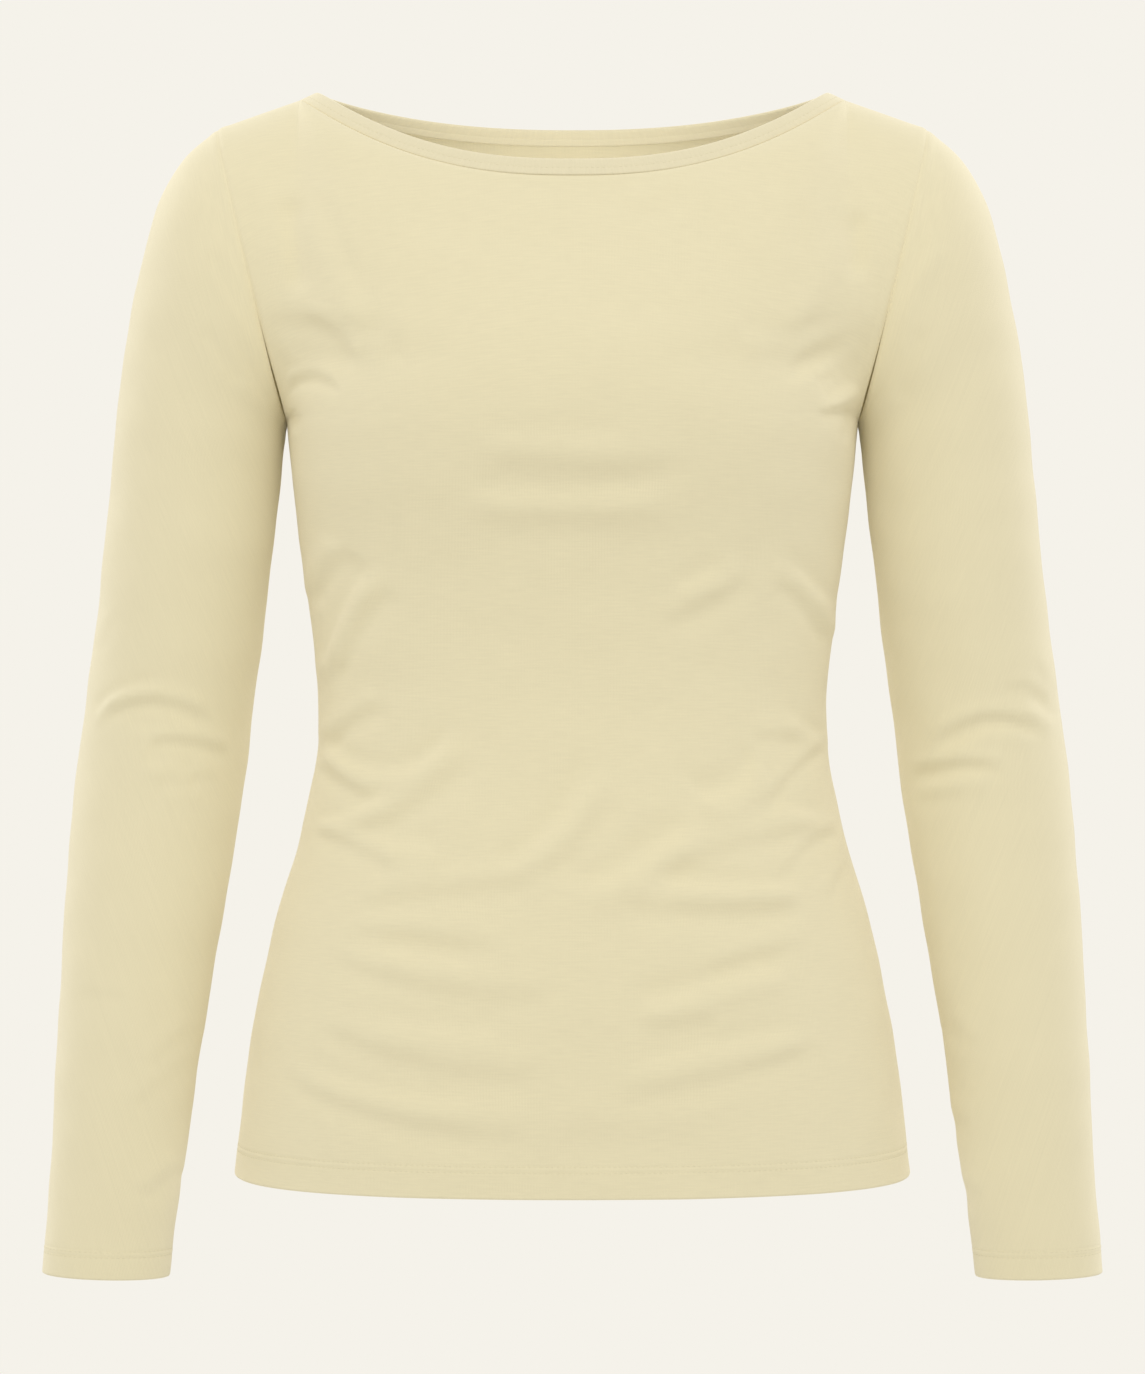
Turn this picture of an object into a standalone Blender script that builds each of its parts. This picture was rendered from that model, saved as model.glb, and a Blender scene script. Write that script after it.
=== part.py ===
"""Long-sleeve t-shirt in fine jersey with a boat neck, filled out as if worn.

Metres. X runs to the wearer's left, the front faces -Y and Z is up. The origin lies on the centre
plane, level with the tops of the shoulders beside the neck, which is where a wearer holds it up.
Each panel is a closed wall: an outer surface worked out from sections, and an inner one moved in
along its normals.
"""

import bpy
import numpy as np

# Cloth, in metres
WALL = 0.0012
TURNED_WALL = 0.0022  # where a hem or a cuff edge is folded up inside
TURN_STEP = 0.0015  # length over which the wall thickens at the raw edge
SEAM_GAP = 0.0003

# Levels, in metres
HEM_LEVEL = -0.592
HEM_DIP = 0.003  # the hem hangs this much lower at the middle than at the side seams
HEM_DEPTH = 0.018
UNDERARM_LEVEL = -0.178
CUFF_DEPTH = 0.016

# Neck edge of the panels: half width, and how it rises from the middle to the neck points
NECK_HALF_WIDTH = 0.1496
NECK_POINT_LEVEL = -0.0022
NECK_RISE_POWER = 2.4
NECK_ROUNDNESS = 1.15
FRONT_NECK_LEVEL = -0.0507
FRONT_NECK_DEPTH = -0.0740
BACK_NECK_LEVEL = -0.0207
BACK_NECK_DEPTH = 0.0550

# Binding that stands on the neck edge
BINDING_THICKNESS = 0.0020
BINDING_PROFILE = ((0.0, 1.0), (0.35, 1.0), (0.8, 1.0), (1.0, 0.45))  # rise, share of thickness
BINDING_HALF_WIDTH = 0.1400
BINDING_POINT_LEVEL = 0.0022
FRONT_BINDING_LEVEL = -0.0419
FRONT_BINDING_DEPTH = -0.0712
BACK_BINDING_LEVEL = -0.0122
BACK_BINDING_DEPTH = 0.0528

# Where an eye straight in front sees the garment from. The folds are placed as it sees them.
EYE_DISTANCE = 2.6
EYE_LEVEL = -0.3245

# Mesh counts
LOWER_ROWS = 26  # from hem to underarm, two of them for the turned hem
UPPER_ROWS = 12  # from underarm to shoulder
FRONT_HALF_COLUMNS = 15
FRONT_NECK_COLUMNS = 11
BACK_HALF_COLUMNS = 12
BACK_NECK_COLUMNS = 9
SLEEVE_ROWS = (8, 5, 11, 9)  # of the cap, the upper arm, the elbow and the forearm
SLEEVE_STATIONS = (0.0, 0.17, 0.29, 0.42)  # runs down the outer edge at which those start
SEAM_POINTS = 97  # along a seam, for distances to it

JERSEY_COLOUR = (0.800, 0.722, 0.491)
BINDING_COLOUR = (0.775, 0.695, 0.465)
JERSEY_ROUGHNESS = 0.85
SHARP_ANGLE = np.radians(50.0)

# How the rows run, and rise to the top of a panel: with this power of their share of the way, and the
# corner at the neck point with the second. They meet the armhole with the third.
LEAST_REACH = 0.5  # least run of a row along its edge, as a share of its half width
LIFT_POWER = 2.0
CORNER_POWER = 7.0
MEET_POWER = 8.0
TURN_FORWARD = 0.03  # height above the underarm over which rows stop turning straight back
BEHIND_END = 0.35  # share of the way up the armhole where rows stop heading for a point behind it
FLARE_HEIGHT = 0.02

# Sections of the torso at the side seams, from the hem up
TORSO_COLUMNS = ("level", "half_width", "seam_depth")
TORSO_SECTIONS = (
    (-0.5920, 0.1856, 0.004),  # hem
    (-0.5410, 0.1799, 0.004),
    (-0.4970, 0.1730, 0.004),
    (-0.4530, 0.1631, 0.003),
    (-0.4090, 0.1502, 0.000),
    (-0.3870, 0.1449, -0.002),
    (-0.3650, 0.1405, -0.003),
    (-0.3350, 0.1391, -0.004),  # waist
    (-0.2990, 0.1422, -0.004),
    (-0.2550, 0.1480, -0.002),
    (-0.2110, 0.1537, 0.000),
    (-0.1780, 0.1570, 0.002),  # underarm
)

# Rows across a panel: level and depth of the cloth at the centre line, how far the row runs on
# sideways before it turns, how far it runs on along its edge, and the angle at which it reaches
# the edge (90 degrees is straight back to a side seam)
ROW_COLUMNS = ("level", "depth", "crown", "shoulder", "edge_angle")
FRONT_ROWS = (
    (-0.5920, -0.1100, 1.95, 1.90, 90.0),  # hem
    (-0.5400, -0.1110, 1.95, 1.90, 90.0),
    (-0.4800, -0.1090, 1.95, 1.85, 90.0),  # belly
    (-0.4200, -0.1000, 1.95, 1.80, 90.0),
    (-0.3700, -0.0915, 1.95, 1.80, 90.0),
    (-0.3300, -0.0890, 1.95, 1.80, 90.0),  # waist
    (-0.2900, -0.0920, 1.98, 1.80, 90.0),
    (-0.2500, -0.0990, 2.02, 1.80, 90.0),
    (-0.2150, -0.1090, 2.06, 1.80, 90.0),
    (-0.1780, -0.1150, 2.06, 1.80, 90.0),  # underarm
    (-0.1500, -0.1130, 1.90, 1.45, 52.0),
    (-0.1200, -0.1030, 1.70, 1.20, 32.0),
    (-0.0860, -0.0885, 1.50, 1.05, 24.0),
    (-0.0507, -0.0740, 1.30, 1.00, 18.0),  # neck
)
BACK_ROWS = (
    (-0.5920, 0.1180, 1.90, 1.85, 90.0),  # hem
    (-0.5400, 0.1180, 1.90, 1.85, 90.0),
    (-0.4800, 0.1080, 1.90, 1.80, 90.0),
    (-0.4200, 0.0880, 1.90, 1.75, 90.0),
    (-0.3700, 0.0740, 1.90, 1.75, 90.0),
    (-0.3300, 0.0710, 1.90, 1.75, 90.0),  # small of the back
    (-0.2800, 0.0790, 1.90, 1.75, 90.0),
    (-0.2300, 0.0920, 1.92, 1.75, 90.0),
    (-0.1780, 0.1000, 1.92, 1.75, 90.0),  # underarm
    (-0.1400, 0.1010, 1.80, 1.40, 55.0),
    (-0.1000, 0.0940, 1.65, 1.15, 34.0),
    (-0.0600, 0.0780, 1.45, 1.05, 24.0),
    (-0.0207, 0.0550, 1.30, 1.00, 18.0),  # nape
)

# Sections of a sleeve, from the armhole to the cuff: where it lies at the outer and at the inner
# edge of the arm, half its depth from front to back, and the middle of that depth
SLEEVE_COLUMNS = ("outer_x", "outer_z", "inner_x", "inner_z", "half_depth", "middle")
SLEEVE_SECTIONS = (
    (0.1950, -0.0180, 0.1570, -0.1780, 0.0520, 0.002),  # armhole
    (0.2140, -0.0347, 0.1572, -0.1790, 0.0545, 0.002),
    (0.2266, -0.0567, 0.1576, -0.1812, 0.0555, 0.003),
    (0.2365, -0.0897, 0.1580, -0.1840, 0.0550, 0.003),
    (0.2453, -0.1337, 0.1585, -0.1885, 0.0530, 0.004),
    (0.2513, -0.1800, 0.1597, -0.1980, 0.0510, 0.004),  # upper arm
    (0.2540, -0.2107, 0.1613, -0.2140, 0.0500, 0.005),
    (0.2586, -0.2547, 0.1661, -0.2547, 0.0490, 0.006),
    (0.2636, -0.2987, 0.1715, -0.2987, 0.0480, 0.009),
    (0.2700, -0.3427, 0.1773, -0.3427, 0.0475, 0.011),  # elbow
    (0.2749, -0.3867, 0.1825, -0.3867, 0.0460, 0.007),
    (0.2780, -0.4307, 0.1891, -0.4307, 0.0440, 0.000),
    (0.2800, -0.4747, 0.1963, -0.4747, 0.0415, -0.007),
    (0.2817, -0.5187, 0.2030, -0.5187, 0.0385, -0.014),
    (0.2833, -0.5627, 0.2088, -0.5627, 0.0350, -0.020),
    (0.2855, -0.6067, 0.2150, -0.6067, 0.0310, -0.026),
    (0.2884, -0.6426, 0.2193, -0.6447, 0.0280, -0.030),  # cuff
)

# The largest folds: from (x0, z0) to (x1, z1) where the eye in front sees them, how far the middle
# bows up, half width, and height. A height below zero is a trough.
FOLD_COLUMNS = ("x0", "z0", "x1", "z1", "bow", "half_width", "height")
FRONT_FOLDS = (
    (-0.1639, -0.1117, -0.1199, -0.1419, 0.006, 0.014, -0.0022),  # drag at the right underarm
    (0.1194, -0.1447, 0.1606, -0.1309, 0.006, 0.014, -0.0022),  # drag at the left underarm
    (-0.0429, -0.2035, 0.0534, -0.2035, -0.004, 0.013, -0.0016),  # across, below the chest
    (-0.1380, -0.3564, -0.0688, -0.3509, -0.017, 0.013, 0.0026),  # swag over the right waist
    (-0.1199, -0.4015, -0.0594, -0.3619, -0.009, 0.014, -0.0040),
    (-0.1419, -0.3988, -0.1007, -0.3839, 0.002, 0.012, 0.0022),
    (-0.1403, -0.4076, -0.0979, -0.4252, -0.002, 0.013, -0.0020),
    (-0.0512, -0.4252, 0.0121, -0.3674, -0.010, 0.014, 0.0026),  # over the middle of the waist
    (0.0451, -0.4224, 0.1249, -0.4021, 0.004, 0.014, -0.0040),  # swag over the left waist
    (0.0781, -0.3922, 0.1249, -0.3592, 0.003, 0.013, 0.0026),
    (0.0121, -0.4362, 0.0644, -0.4004, 0.003, 0.014, 0.0022),
    (0.0314, -0.4417, 0.1221, -0.4444, 0.002, 0.013, -0.0026),
    (-0.1309, -0.4736, -0.0127, -0.4923, -0.009, 0.013, -0.0024),  # across the belly
    (-0.1392, -0.5104, -0.0292, -0.5352, -0.006, 0.015, -0.0038),
    (0.0314, -0.5478, 0.1249, -0.5214, -0.006, 0.015, -0.0038),
)
BACK_FOLDS = (
    (-0.1300, -0.3350, -0.0200, -0.3700, -0.010, 0.016, -0.0045),  # into the small of the back
    (0.0150, -0.3600, 0.1280, -0.3250, -0.010, 0.016, -0.0045),
    (-0.1150, -0.3950, 0.0250, -0.4050, -0.008, 0.016, -0.0040),
    (-0.0350, -0.3150, 0.1100, -0.2900, -0.008, 0.016, -0.0034),
    (-0.1000, -0.2850, 0.0200, -0.3080, -0.006, 0.016, -0.0030),
    (-0.1500, -0.1450, -0.1100, -0.1750, 0.005, 0.015, -0.0030),  # drags at the underarms
    (0.1120, -0.1800, 0.1500, -0.1500, 0.005, 0.015, -0.0030),
)
ARM_FOLDS = (
    (0.2020, -0.3440, 0.2560, -0.3420, 0.010, 0.011, -0.0038),  # over the bend of the elbow
    (0.1880, -0.3650, 0.2380, -0.3600, 0.004, 0.010, -0.0034),
    (0.2100, -0.3240, 0.2620, -0.3130, 0.004, 0.012, 0.0022),
    (0.1900, -0.2300, 0.2200, -0.1600, 0.000, 0.014, -0.0020),  # drag from the armpit
)
CALM_WIDTH = 0.022  # folds fade out over this distance from the armhole and neck seams
SIDE_WIDTH = 0.03  # front folds give way to back ones over this depth each side of the middle
FOLD_END = 0.3  # how much of its height a fold keeps at its ends, beyond which it runs out


def columns(names, table):
    """The table's columns as arrays, by name."""
    return dict(zip(names, np.array(table).T))


def ease(share):
    """Smooth step from 0 to 1 as share goes from 0 to 1."""
    share = np.clip(share, 0.0, 1.0)
    return share * share * (3.0 - 2.0 * share)


def unit(vectors):
    return vectors / np.linalg.norm(vectors, axis=-1, keepdims=True)


def hermite(start, end, leave, arrive, share):
    """Cubic from start to end, with its slope at both."""
    square, cube = share**2, share**3
    return (
        (2 * cube - 3 * square + 1) * start
        + (cube - 2 * square + share) * leave
        + (3 * square - 2 * cube) * end
        + (cube - square) * arrive
    )


def through(knots, values, at):
    """Smooth curve through the values at the knots, one cubic between each two."""
    slopes = np.gradient(values, knots, axis=0)
    left = np.clip(np.searchsorted(knots, at, side="right") - 1, 0, len(knots) - 2)
    span = knots[left + 1] - knots[left]
    share = (at - knots[left]) / span
    if values.ndim > 1:
        span, share = span[:, None], share[:, None]
    return hermite(
        values[left], values[left + 1], slopes[left] * span, slopes[left + 1] * span, share
    )


# Neck edge and binding ------------------------------------------------------------------------


def neck_curve(half_width, point_level, middle_level, middle_depth, angle):
    """Half a boat neck, from the middle (angle 0) to the neck point (a right angle)."""
    across = np.sin(angle)
    rise = np.abs(across) ** NECK_RISE_POWER
    depth = middle_depth * np.clip(np.cos(angle), 0.0, 1.0) ** NECK_ROUNDNESS
    level = middle_level + (point_level - middle_level) * rise
    return np.stack([half_width * across, depth, level], axis=-1)


def neck_edges(side, angle):
    """The panel's neck edge and the binding's free edge, side -1 for the front and 1 for the back."""
    if side < 0:
        seam = (FRONT_NECK_LEVEL, FRONT_NECK_DEPTH)
        free = (FRONT_BINDING_LEVEL, FRONT_BINDING_DEPTH)
    else:
        seam = (BACK_NECK_LEVEL, BACK_NECK_DEPTH)
        free = (BACK_BINDING_LEVEL, BACK_BINDING_DEPTH)
    return (
        neck_curve(NECK_HALF_WIDTH, NECK_POINT_LEVEL, *seam, angle),
        neck_curve(BINDING_HALF_WIDTH, BINDING_POINT_LEVEL, *free, angle),
    )


def neck_normals(side, angle):
    """Outward normal of the binding: square to its height and to the run of its edge."""
    step = 1e-3
    seam, free = neck_edges(side, angle)
    ahead = neck_edges(side, np.minimum(angle + step, np.pi / 2))[0]
    behind = neck_edges(side, np.maximum(angle - step, 0.0))[0]
    return unit(np.cross(ahead - behind, free - seam)) * -side


# Sleeve form ----------------------------------------------------------------------------------

SLEEVE = columns(SLEEVE_COLUMNS, SLEEVE_SECTIONS)
OUTER_STEPS = np.hypot(np.diff(SLEEVE["outer_x"]), np.diff(SLEEVE["outer_z"]))
SLEEVE_RUN = np.concatenate([[0.0], np.cumsum(OUTER_STEPS)])  # down the outer edge
SLEEVE_LENGTH = SLEEVE_RUN[-1]


def sleeve_ring(run, around):
    """Points of the left sleeve at a run down its outer edge. around is 0 under the arm and half a turn
    at the outer edge, above zero over the back and below it over the front. Sections are ellipses."""
    at = {name: through(SLEEVE_RUN, SLEEVE[name], run) for name in SLEEVE_COLUMNS}
    outer, inner = 0.5 - 0.5 * np.cos(around), 0.5 + 0.5 * np.cos(around)
    x = at["outer_x"] * outer + at["inner_x"] * inner
    z = at["outer_z"] * outer + at["inner_z"] * inner
    y = at["middle"] + at["half_depth"] * np.sin(around)
    return np.stack(np.broadcast_arrays(x, y, z), axis=-1)


def armhole_angles():
    """Angles round half an armhole at the panels' upper rows."""
    return np.linspace(0.0, np.pi, UPPER_ROWS + 1)


def upper_rises():
    """Shares of the way up from the underarm for the upper rows, closest at both ends."""
    return 0.5 - 0.5 * np.cos(armhole_angles()[1:])


ARMHOLE_TOP = sleeve_ring(0.0, np.pi)
ARMHOLE_BOTTOM = sleeve_ring(0.0, 0.0)
ARMHOLE_UP = unit(ARMHOLE_TOP - ARMHOLE_BOTTOM)
ARMHOLE_OUT = np.array([ARMHOLE_UP[2], 0.0, -ARMHOLE_UP[0]])
SEAM_LEAN = 0.30  # how far the seam's normal leans out along the arm
UNDERARM_ANGLE = 0.7  # each side of the armhole's bottom, where panel and sleeve part by themselves


def armhole_normals(around):
    """Normal shared by panel and sleeve along the armhole: away from the hole's middle, and out."""
    away = -np.cos(around)[:, None] * ARMHOLE_UP + np.sin(around)[:, None] * [0.0, 1.0, 0.0]
    return unit(away + SEAM_LEAN * ARMHOLE_OUT)


def armhole_share(around):
    """How far the shared normal holds: all round but under the arm."""
    from_bottom = np.pi - np.abs(np.pi - np.abs(around))
    return ease((from_bottom - UNDERARM_ANGLE) / UNDERARM_ANGLE)[:, None]


# Panel form -----------------------------------------------------------------------------------

TORSO = columns(TORSO_COLUMNS, TORSO_SECTIONS)
NECK_POINT = neck_edges(-1, np.array(np.pi / 2))[0]
RIDGE_NORMAL = unit(
    np.array([NECK_POINT[2] - ARMHOLE_TOP[2], 0.0, ARMHOLE_TOP[0] - NECK_POINT[0]])
)


def lower_levels():
    """Levels of the rows from hem to underarm, with one row each side of the turned hem's raw edge."""
    raw_edge = HEM_LEVEL + HEM_DEPTH
    above = np.linspace(raw_edge + TURN_STEP, UNDERARM_LEVEL, LOWER_ROWS - 1)
    return np.concatenate([[HEM_LEVEL, raw_edge], above])


def panel_rows(side):
    """For each row of a panel: centre point, edge point, the slopes at both, and the share of the row
    at which the panel ends. A row just above the underarm heads for a point behind the armhole's edge,
    and ends where it comes past that edge."""
    table = columns(ROW_COLUMNS, FRONT_ROWS if side < 0 else BACK_ROWS)
    below, rises = lower_levels(), upper_rises()
    above = UNDERARM_LEVEL + rises * (table["level"][-1] - UNDERARM_LEVEL)
    levels = np.concatenate([below, above])
    at = {name: through(table["level"], table[name], levels) for name in ROW_COLUMNS}
    seam = np.stack(
        [
            through(TORSO["level"], TORSO["half_width"], below),
            through(TORSO["level"], TORSO["seam_depth"], below),
            below,
        ],
        axis=-1,
    )
    armhole = sleeve_ring(0.0, side * armhole_angles()[1:])
    behind = armhole.copy()
    depth_gone = 1.0 - ease(rises / BEHIND_END)
    behind[:, 1] += depth_gone * (ARMHOLE_BOTTOM[1] - armhole[:, 1])
    raised = armhole[:, 2] - UNDERARM_LEVEL
    lean = ARMHOLE_UP[0] / ARMHOLE_UP[2] - (seam[-1, 0] - seam[-2, 0]) / (below[-1] - below[-2])
    behind[:, 0] -= lean * raised * np.exp(-raised / FLARE_HEIGHT)
    edge = np.concatenate([seam, behind])
    zero = np.zeros_like(levels)
    centre = np.stack([zero, at["depth"], levels], axis=-1)
    turned = (90.0 - at["edge_angle"]) * ease((levels - UNDERARM_LEVEL) / TURN_FORWARD)
    turn = np.radians(90.0 - turned)
    reach = at["shoulder"] * np.abs(edge[:, 1] - centre[:, 1])
    reach = np.maximum(reach, LEAST_REACH * edge[:, 0] * np.cos(turn))
    leave = np.stack([at["crown"] * edge[:, 0], zero, zero], axis=-1)
    arrive = np.stack([reach * np.cos(turn), -side * reach * np.sin(turn), zero], axis=-1)
    rows = (centre, edge, leave, arrive)
    meets = np.concatenate([seam, armhole])
    ends = np.ones_like(levels)
    ends[len(below) :] = share_at_depth([part[len(below) :] for part in rows], armhole[:, 1])
    return rows, meets, ends


def share_at_depth(rows, depth):
    """Share of each row at which it comes to a depth, found by halving."""
    low, high = np.zeros_like(depth), np.ones_like(depth)
    way = np.sign(rows[1][:, 1] - rows[0][:, 1])
    for _ in range(40):
        middle = (low + high) / 2
        reached = way * (hermite(*(part[:, 1] for part in rows), middle) - depth) >= 0.0
        low, high = np.where(reached, low, middle), np.where(reached, middle, high)
    return high


def panel_top(side, half_columns, neck_columns):
    """Top edge of half a panel: along the neck to the neck point, then down the shoulder seam."""
    neck = neck_edges(side, np.linspace(0.0, np.pi / 2, neck_columns + 1))[0]
    share = np.linspace(0.0, 1.0, half_columns - neck_columns + 1)[1:, None]
    return np.concatenate([neck, NECK_POINT + share * (ARMHOLE_TOP - NECK_POINT)])


def half_panel(side, half_columns, neck_columns):
    """Outer surface of half a panel, rows from the hem up and columns from the centre line out."""
    share = np.linspace(0.0, 1.0, half_columns + 1)[None, :, None]
    rows, meets, ends = panel_rows(side)
    grid = hermite(*(part[:, None, :] for part in rows), share * ends[:, None, None])
    grid += share**MEET_POWER * (meets[:, None, :] - grid[:, -1:])
    # The hem hangs lower at the middle.
    dip = HEM_DIP * (1.0 - share[..., 0] ** 2)
    drop = ease((UNDERARM_LEVEL - grid[..., 2]) / (UNDERARM_LEVEL - HEM_LEVEL))
    grid[..., 2] -= dip * drop
    # The upper rows rise to the neck edge and the shoulder seam. Only the topmost take their corner.
    rise = np.concatenate([np.zeros(LOWER_ROWS + 1), upper_rises()])[:, None, None]
    lift = panel_top(side, half_columns, neck_columns) - grid[-1]
    knots = np.array([0, neck_columns // 3, 2 * neck_columns // 3, neck_columns, half_columns])
    rounded = through(knots, lift[knots], np.arange(half_columns + 1))
    grid += rise**LIFT_POWER * rounded + rise**CORNER_POWER * (lift - rounded)
    # Front and back stand a seam's gap apart.
    grid[: LOWER_ROWS + 1, -1, 1] += side * SEAM_GAP / 2
    grid[-1, neck_columns:, 1] += side * SEAM_GAP / 2
    return grid


def mirrored(half):
    """A whole panel from its left half."""
    other = half[:, :0:-1] * [-1.0, 1.0, 1.0]
    return np.concatenate([other, half], axis=1)


# Folds ----------------------------------------------------------------------------------------


def seen(points):
    """x and z where the eye in front sees the points, on the plane y = 0."""
    scale = EYE_DISTANCE / (EYE_DISTANCE + points[..., 1])
    return points[..., 0] * scale, EYE_LEVEL + (points[..., 2] - EYE_LEVEL) * scale


def folds(table, across, up):
    """Sum of the table's folds. Each is a bell across its bowed line, and fades towards its ends."""
    height = np.zeros_like(across)
    for fold in (dict(zip(FOLD_COLUMNS, row)) for row in table):
        run_x, run_z = fold["x1"] - fold["x0"], fold["z1"] - fold["z0"]
        length = np.hypot(run_x, run_z)
        from_x, from_z = across - fold["x0"], up - fold["z0"]
        along = (from_x * run_x + from_z * run_z) / length**2
        beside = (from_z * run_x - from_x * run_z) / length
        middle = 1.0 - (2.0 * along - 1.0) ** 2
        beside = beside - fold["bow"] * np.maximum(middle, 0.0)
        fade = ease(middle * (2.0 - 2.0 * FOLD_END) + FOLD_END)
        height += fold["height"] * fade * np.exp(-((beside / fold["half_width"]) ** 2))
    return height


def distance_to(line, points):
    """Distance from each point to the nearest of the line's points."""
    offsets = points[..., None, :] - line
    return np.sqrt((offsets**2).sum(axis=-1).min(axis=-1))


def calm(points):
    """0 on the armhole and neck seams, rising to 1 a little away from them."""
    left = sleeve_ring(0.0, np.linspace(0.0, 2 * np.pi, SEAM_POINTS))
    quarter = np.linspace(0.0, np.pi / 2, SEAM_POINTS)
    neck = np.concatenate([neck_edges(side, quarter)[0] for side in (-1, 1)])
    flip = [-1.0, 1.0, 1.0]
    lines = np.concatenate([left, left * flip, neck, neck * flip])
    return ease(distance_to(lines, points) / CALM_WIDTH)


def facing_front(points):
    """1 on the front half of the garment and 0 on the back."""
    return ease((SIDE_WIDTH - points[..., 1]) / (2 * SIDE_WIDTH))


def torso_folds(points):
    """Height of the torso's folds: the front's and the back's, which meet at the side seams."""
    across, up = seen(points)
    front = facing_front(points)
    height = front * folds(FRONT_FOLDS, across, up)
    height += (1.0 - front) * folds(BACK_FOLDS, points[..., 0], points[..., 2])
    return height * calm(points)


def arm_folds(points):
    """Height of a sleeve's folds, on the side of the arm that faces forwards."""
    across, up = seen(points)
    return facing_front(points) * folds(ARM_FOLDS, across, up) * calm(points)


# Meshes ---------------------------------------------------------------------------------------


def grid_faces(rows, cols, closed=False, first=0, flip=False):
    """Triangles of a grid of points, rows by cols. A closed one joins its last column to its first."""
    index = first + np.arange(rows * cols).reshape(rows, cols)
    if closed:
        index = np.concatenate([index, index[:, :1]], axis=1)
    a, b, c, d = index[:-1, :-1], index[:-1, 1:], index[1:, 1:], index[1:, :-1]
    faces = np.concatenate(
        [np.stack([a, b, c], -1).reshape(-1, 3), np.stack([a, c, d], -1).reshape(-1, 3)]
    )
    return faces[:, ::-1] if flip else faces


def surface_normals(grid, closed=False):
    """Vertex normals of a grid, from its triangles' areas."""
    rows, cols = grid.shape[:2]
    points = grid.reshape(-1, 3)
    faces = grid_faces(rows, cols, closed)
    first, second, third = (points[faces[:, corner]] for corner in range(3))
    areas = np.cross(second - first, third - first)
    total = np.zeros_like(points)
    for corner in range(3):
        np.add.at(total, faces[:, corner], areas)
    return unit(total).reshape(grid.shape)


def rim_faces(outer, inner):
    """Triangles between an outer and an inner line of points."""
    a, b, c, d = outer[:-1], outer[1:], inner[1:], inner[:-1]
    return np.concatenate([np.stack([a, d, c], -1), np.stack([a, c, b], -1)])


def wall_mesh(name, outer, inner, closed, colour):
    """A closed wall between two like grids. A closed grid is a tube, open at its two ends."""
    rows, cols = outer.shape[:2]
    count = rows * cols
    index = np.arange(count).reshape(rows, cols)
    if closed:
        index = np.concatenate([index, index[:, :1]], axis=1)
        borders = [index[0], index[-1, ::-1]]
    else:
        borders = [index[0], index[:, -1], index[-1, ::-1], index[::-1, 0]]
    faces = [
        grid_faces(rows, cols, closed),
        grid_faces(rows, cols, closed, first=count, flip=True),
    ]
    faces += [rim_faces(border, border + count) for border in borders]
    points = np.concatenate([outer.reshape(-1, 3), inner.reshape(-1, 3)])
    return make_object(name, points, np.concatenate(faces), colour)


def make_object(name, points, faces, colour):
    """A smooth-shaded object of its own material."""
    mesh = bpy.data.meshes.new(name)
    mesh.from_pydata(points.tolist(), [], faces.tolist())
    mesh.shade_smooth()
    mesh.set_sharp_from_angle(angle=SHARP_ANGLE)
    material = bpy.data.materials.new(name + "_cloth")
    material.use_nodes = True
    shader = material.node_tree.nodes["Principled BSDF"]
    shader.inputs["Base Color"].default_value = (*colour, 1.0)
    shader.inputs["Roughness"].default_value = JERSEY_ROUGHNESS
    shader.inputs["Metallic"].default_value = 0.0
    mesh.materials.append(material)
    made = bpy.data.objects.new(name, mesh)
    bpy.context.scene.collection.objects.link(made)
    return made


def blend(own, shared, share):
    return unit(own * (1.0 - share) + shared * share)


def panel_normals(side, grid, neck_columns):
    """Normals of a whole panel. Along its seams they are the seam's own, so that the walls of both
    pieces stay parallel there."""
    normals = surface_normals(grid) * -side
    middle = grid.shape[1] // 2
    neck = neck_normals(side, np.linspace(0.0, np.pi / 2, neck_columns + 1))
    around = armhole_angles()
    below = lower_levels()
    widths = through(TORSO["level"], TORSO["half_width"], below)
    slope = np.gradient(widths, below)
    seam = unit(np.stack([np.ones_like(slope), np.zeros_like(slope), -slope], axis=-1))
    hole = armhole_normals(side * around)
    for hand, edge in ((1.0, -1), (-1.0, 0)):
        flip = np.array([hand, 1.0, 1.0])
        step = int(hand)
        normals[-1, middle : middle + step * (neck_columns + 1) : step] = neck * flip
        shoulder = slice(middle + step * (neck_columns + 1), None if hand > 0 else 0, step)
        normals[-1, shoulder] = RIDGE_NORMAL * flip
        normals[: LOWER_ROWS + 1, edge] = seam * flip
        upper = normals[LOWER_ROWS:, edge]
        normals[LOWER_ROWS:, edge] = blend(upper, hole * flip, armhole_share(around))
    return normals


def make_panel(name, side, half_columns, neck_columns):
    """Front (side -1) or back (side 1): one wall from hem to neck, thicker at the turned hem."""
    grid = mirrored(half_panel(side, half_columns, neck_columns))
    height = torso_folds(grid)
    grid = grid + height[..., None] * panel_normals(side, grid, neck_columns)
    normals = panel_normals(side, grid, neck_columns)
    wall = np.full(grid.shape[0], WALL)
    wall[:2] = TURNED_WALL
    inner = grid - normals * wall[:, None, None]
    if side > 0:
        grid, inner = grid[:, ::-1], inner[:, ::-1]
    return wall_mesh(name, grid, inner, False, JERSEY_COLOUR)


def sleeve_runs():
    """Runs of a sleeve's rings, closest at the elbow, with one ring each side of the cuff's raw edge."""
    raw_edge = SLEEVE_LENGTH - CUFF_DEPTH
    stations = (*SLEEVE_STATIONS, raw_edge - TURN_STEP)
    runs = [
        np.linspace(start, end, rows, endpoint=False)
        for start, end, rows in zip(stations, stations[1:], SLEEVE_ROWS)
    ]
    return np.concatenate([*runs, [stations[-1], raw_edge, SLEEVE_LENGTH]])


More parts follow.
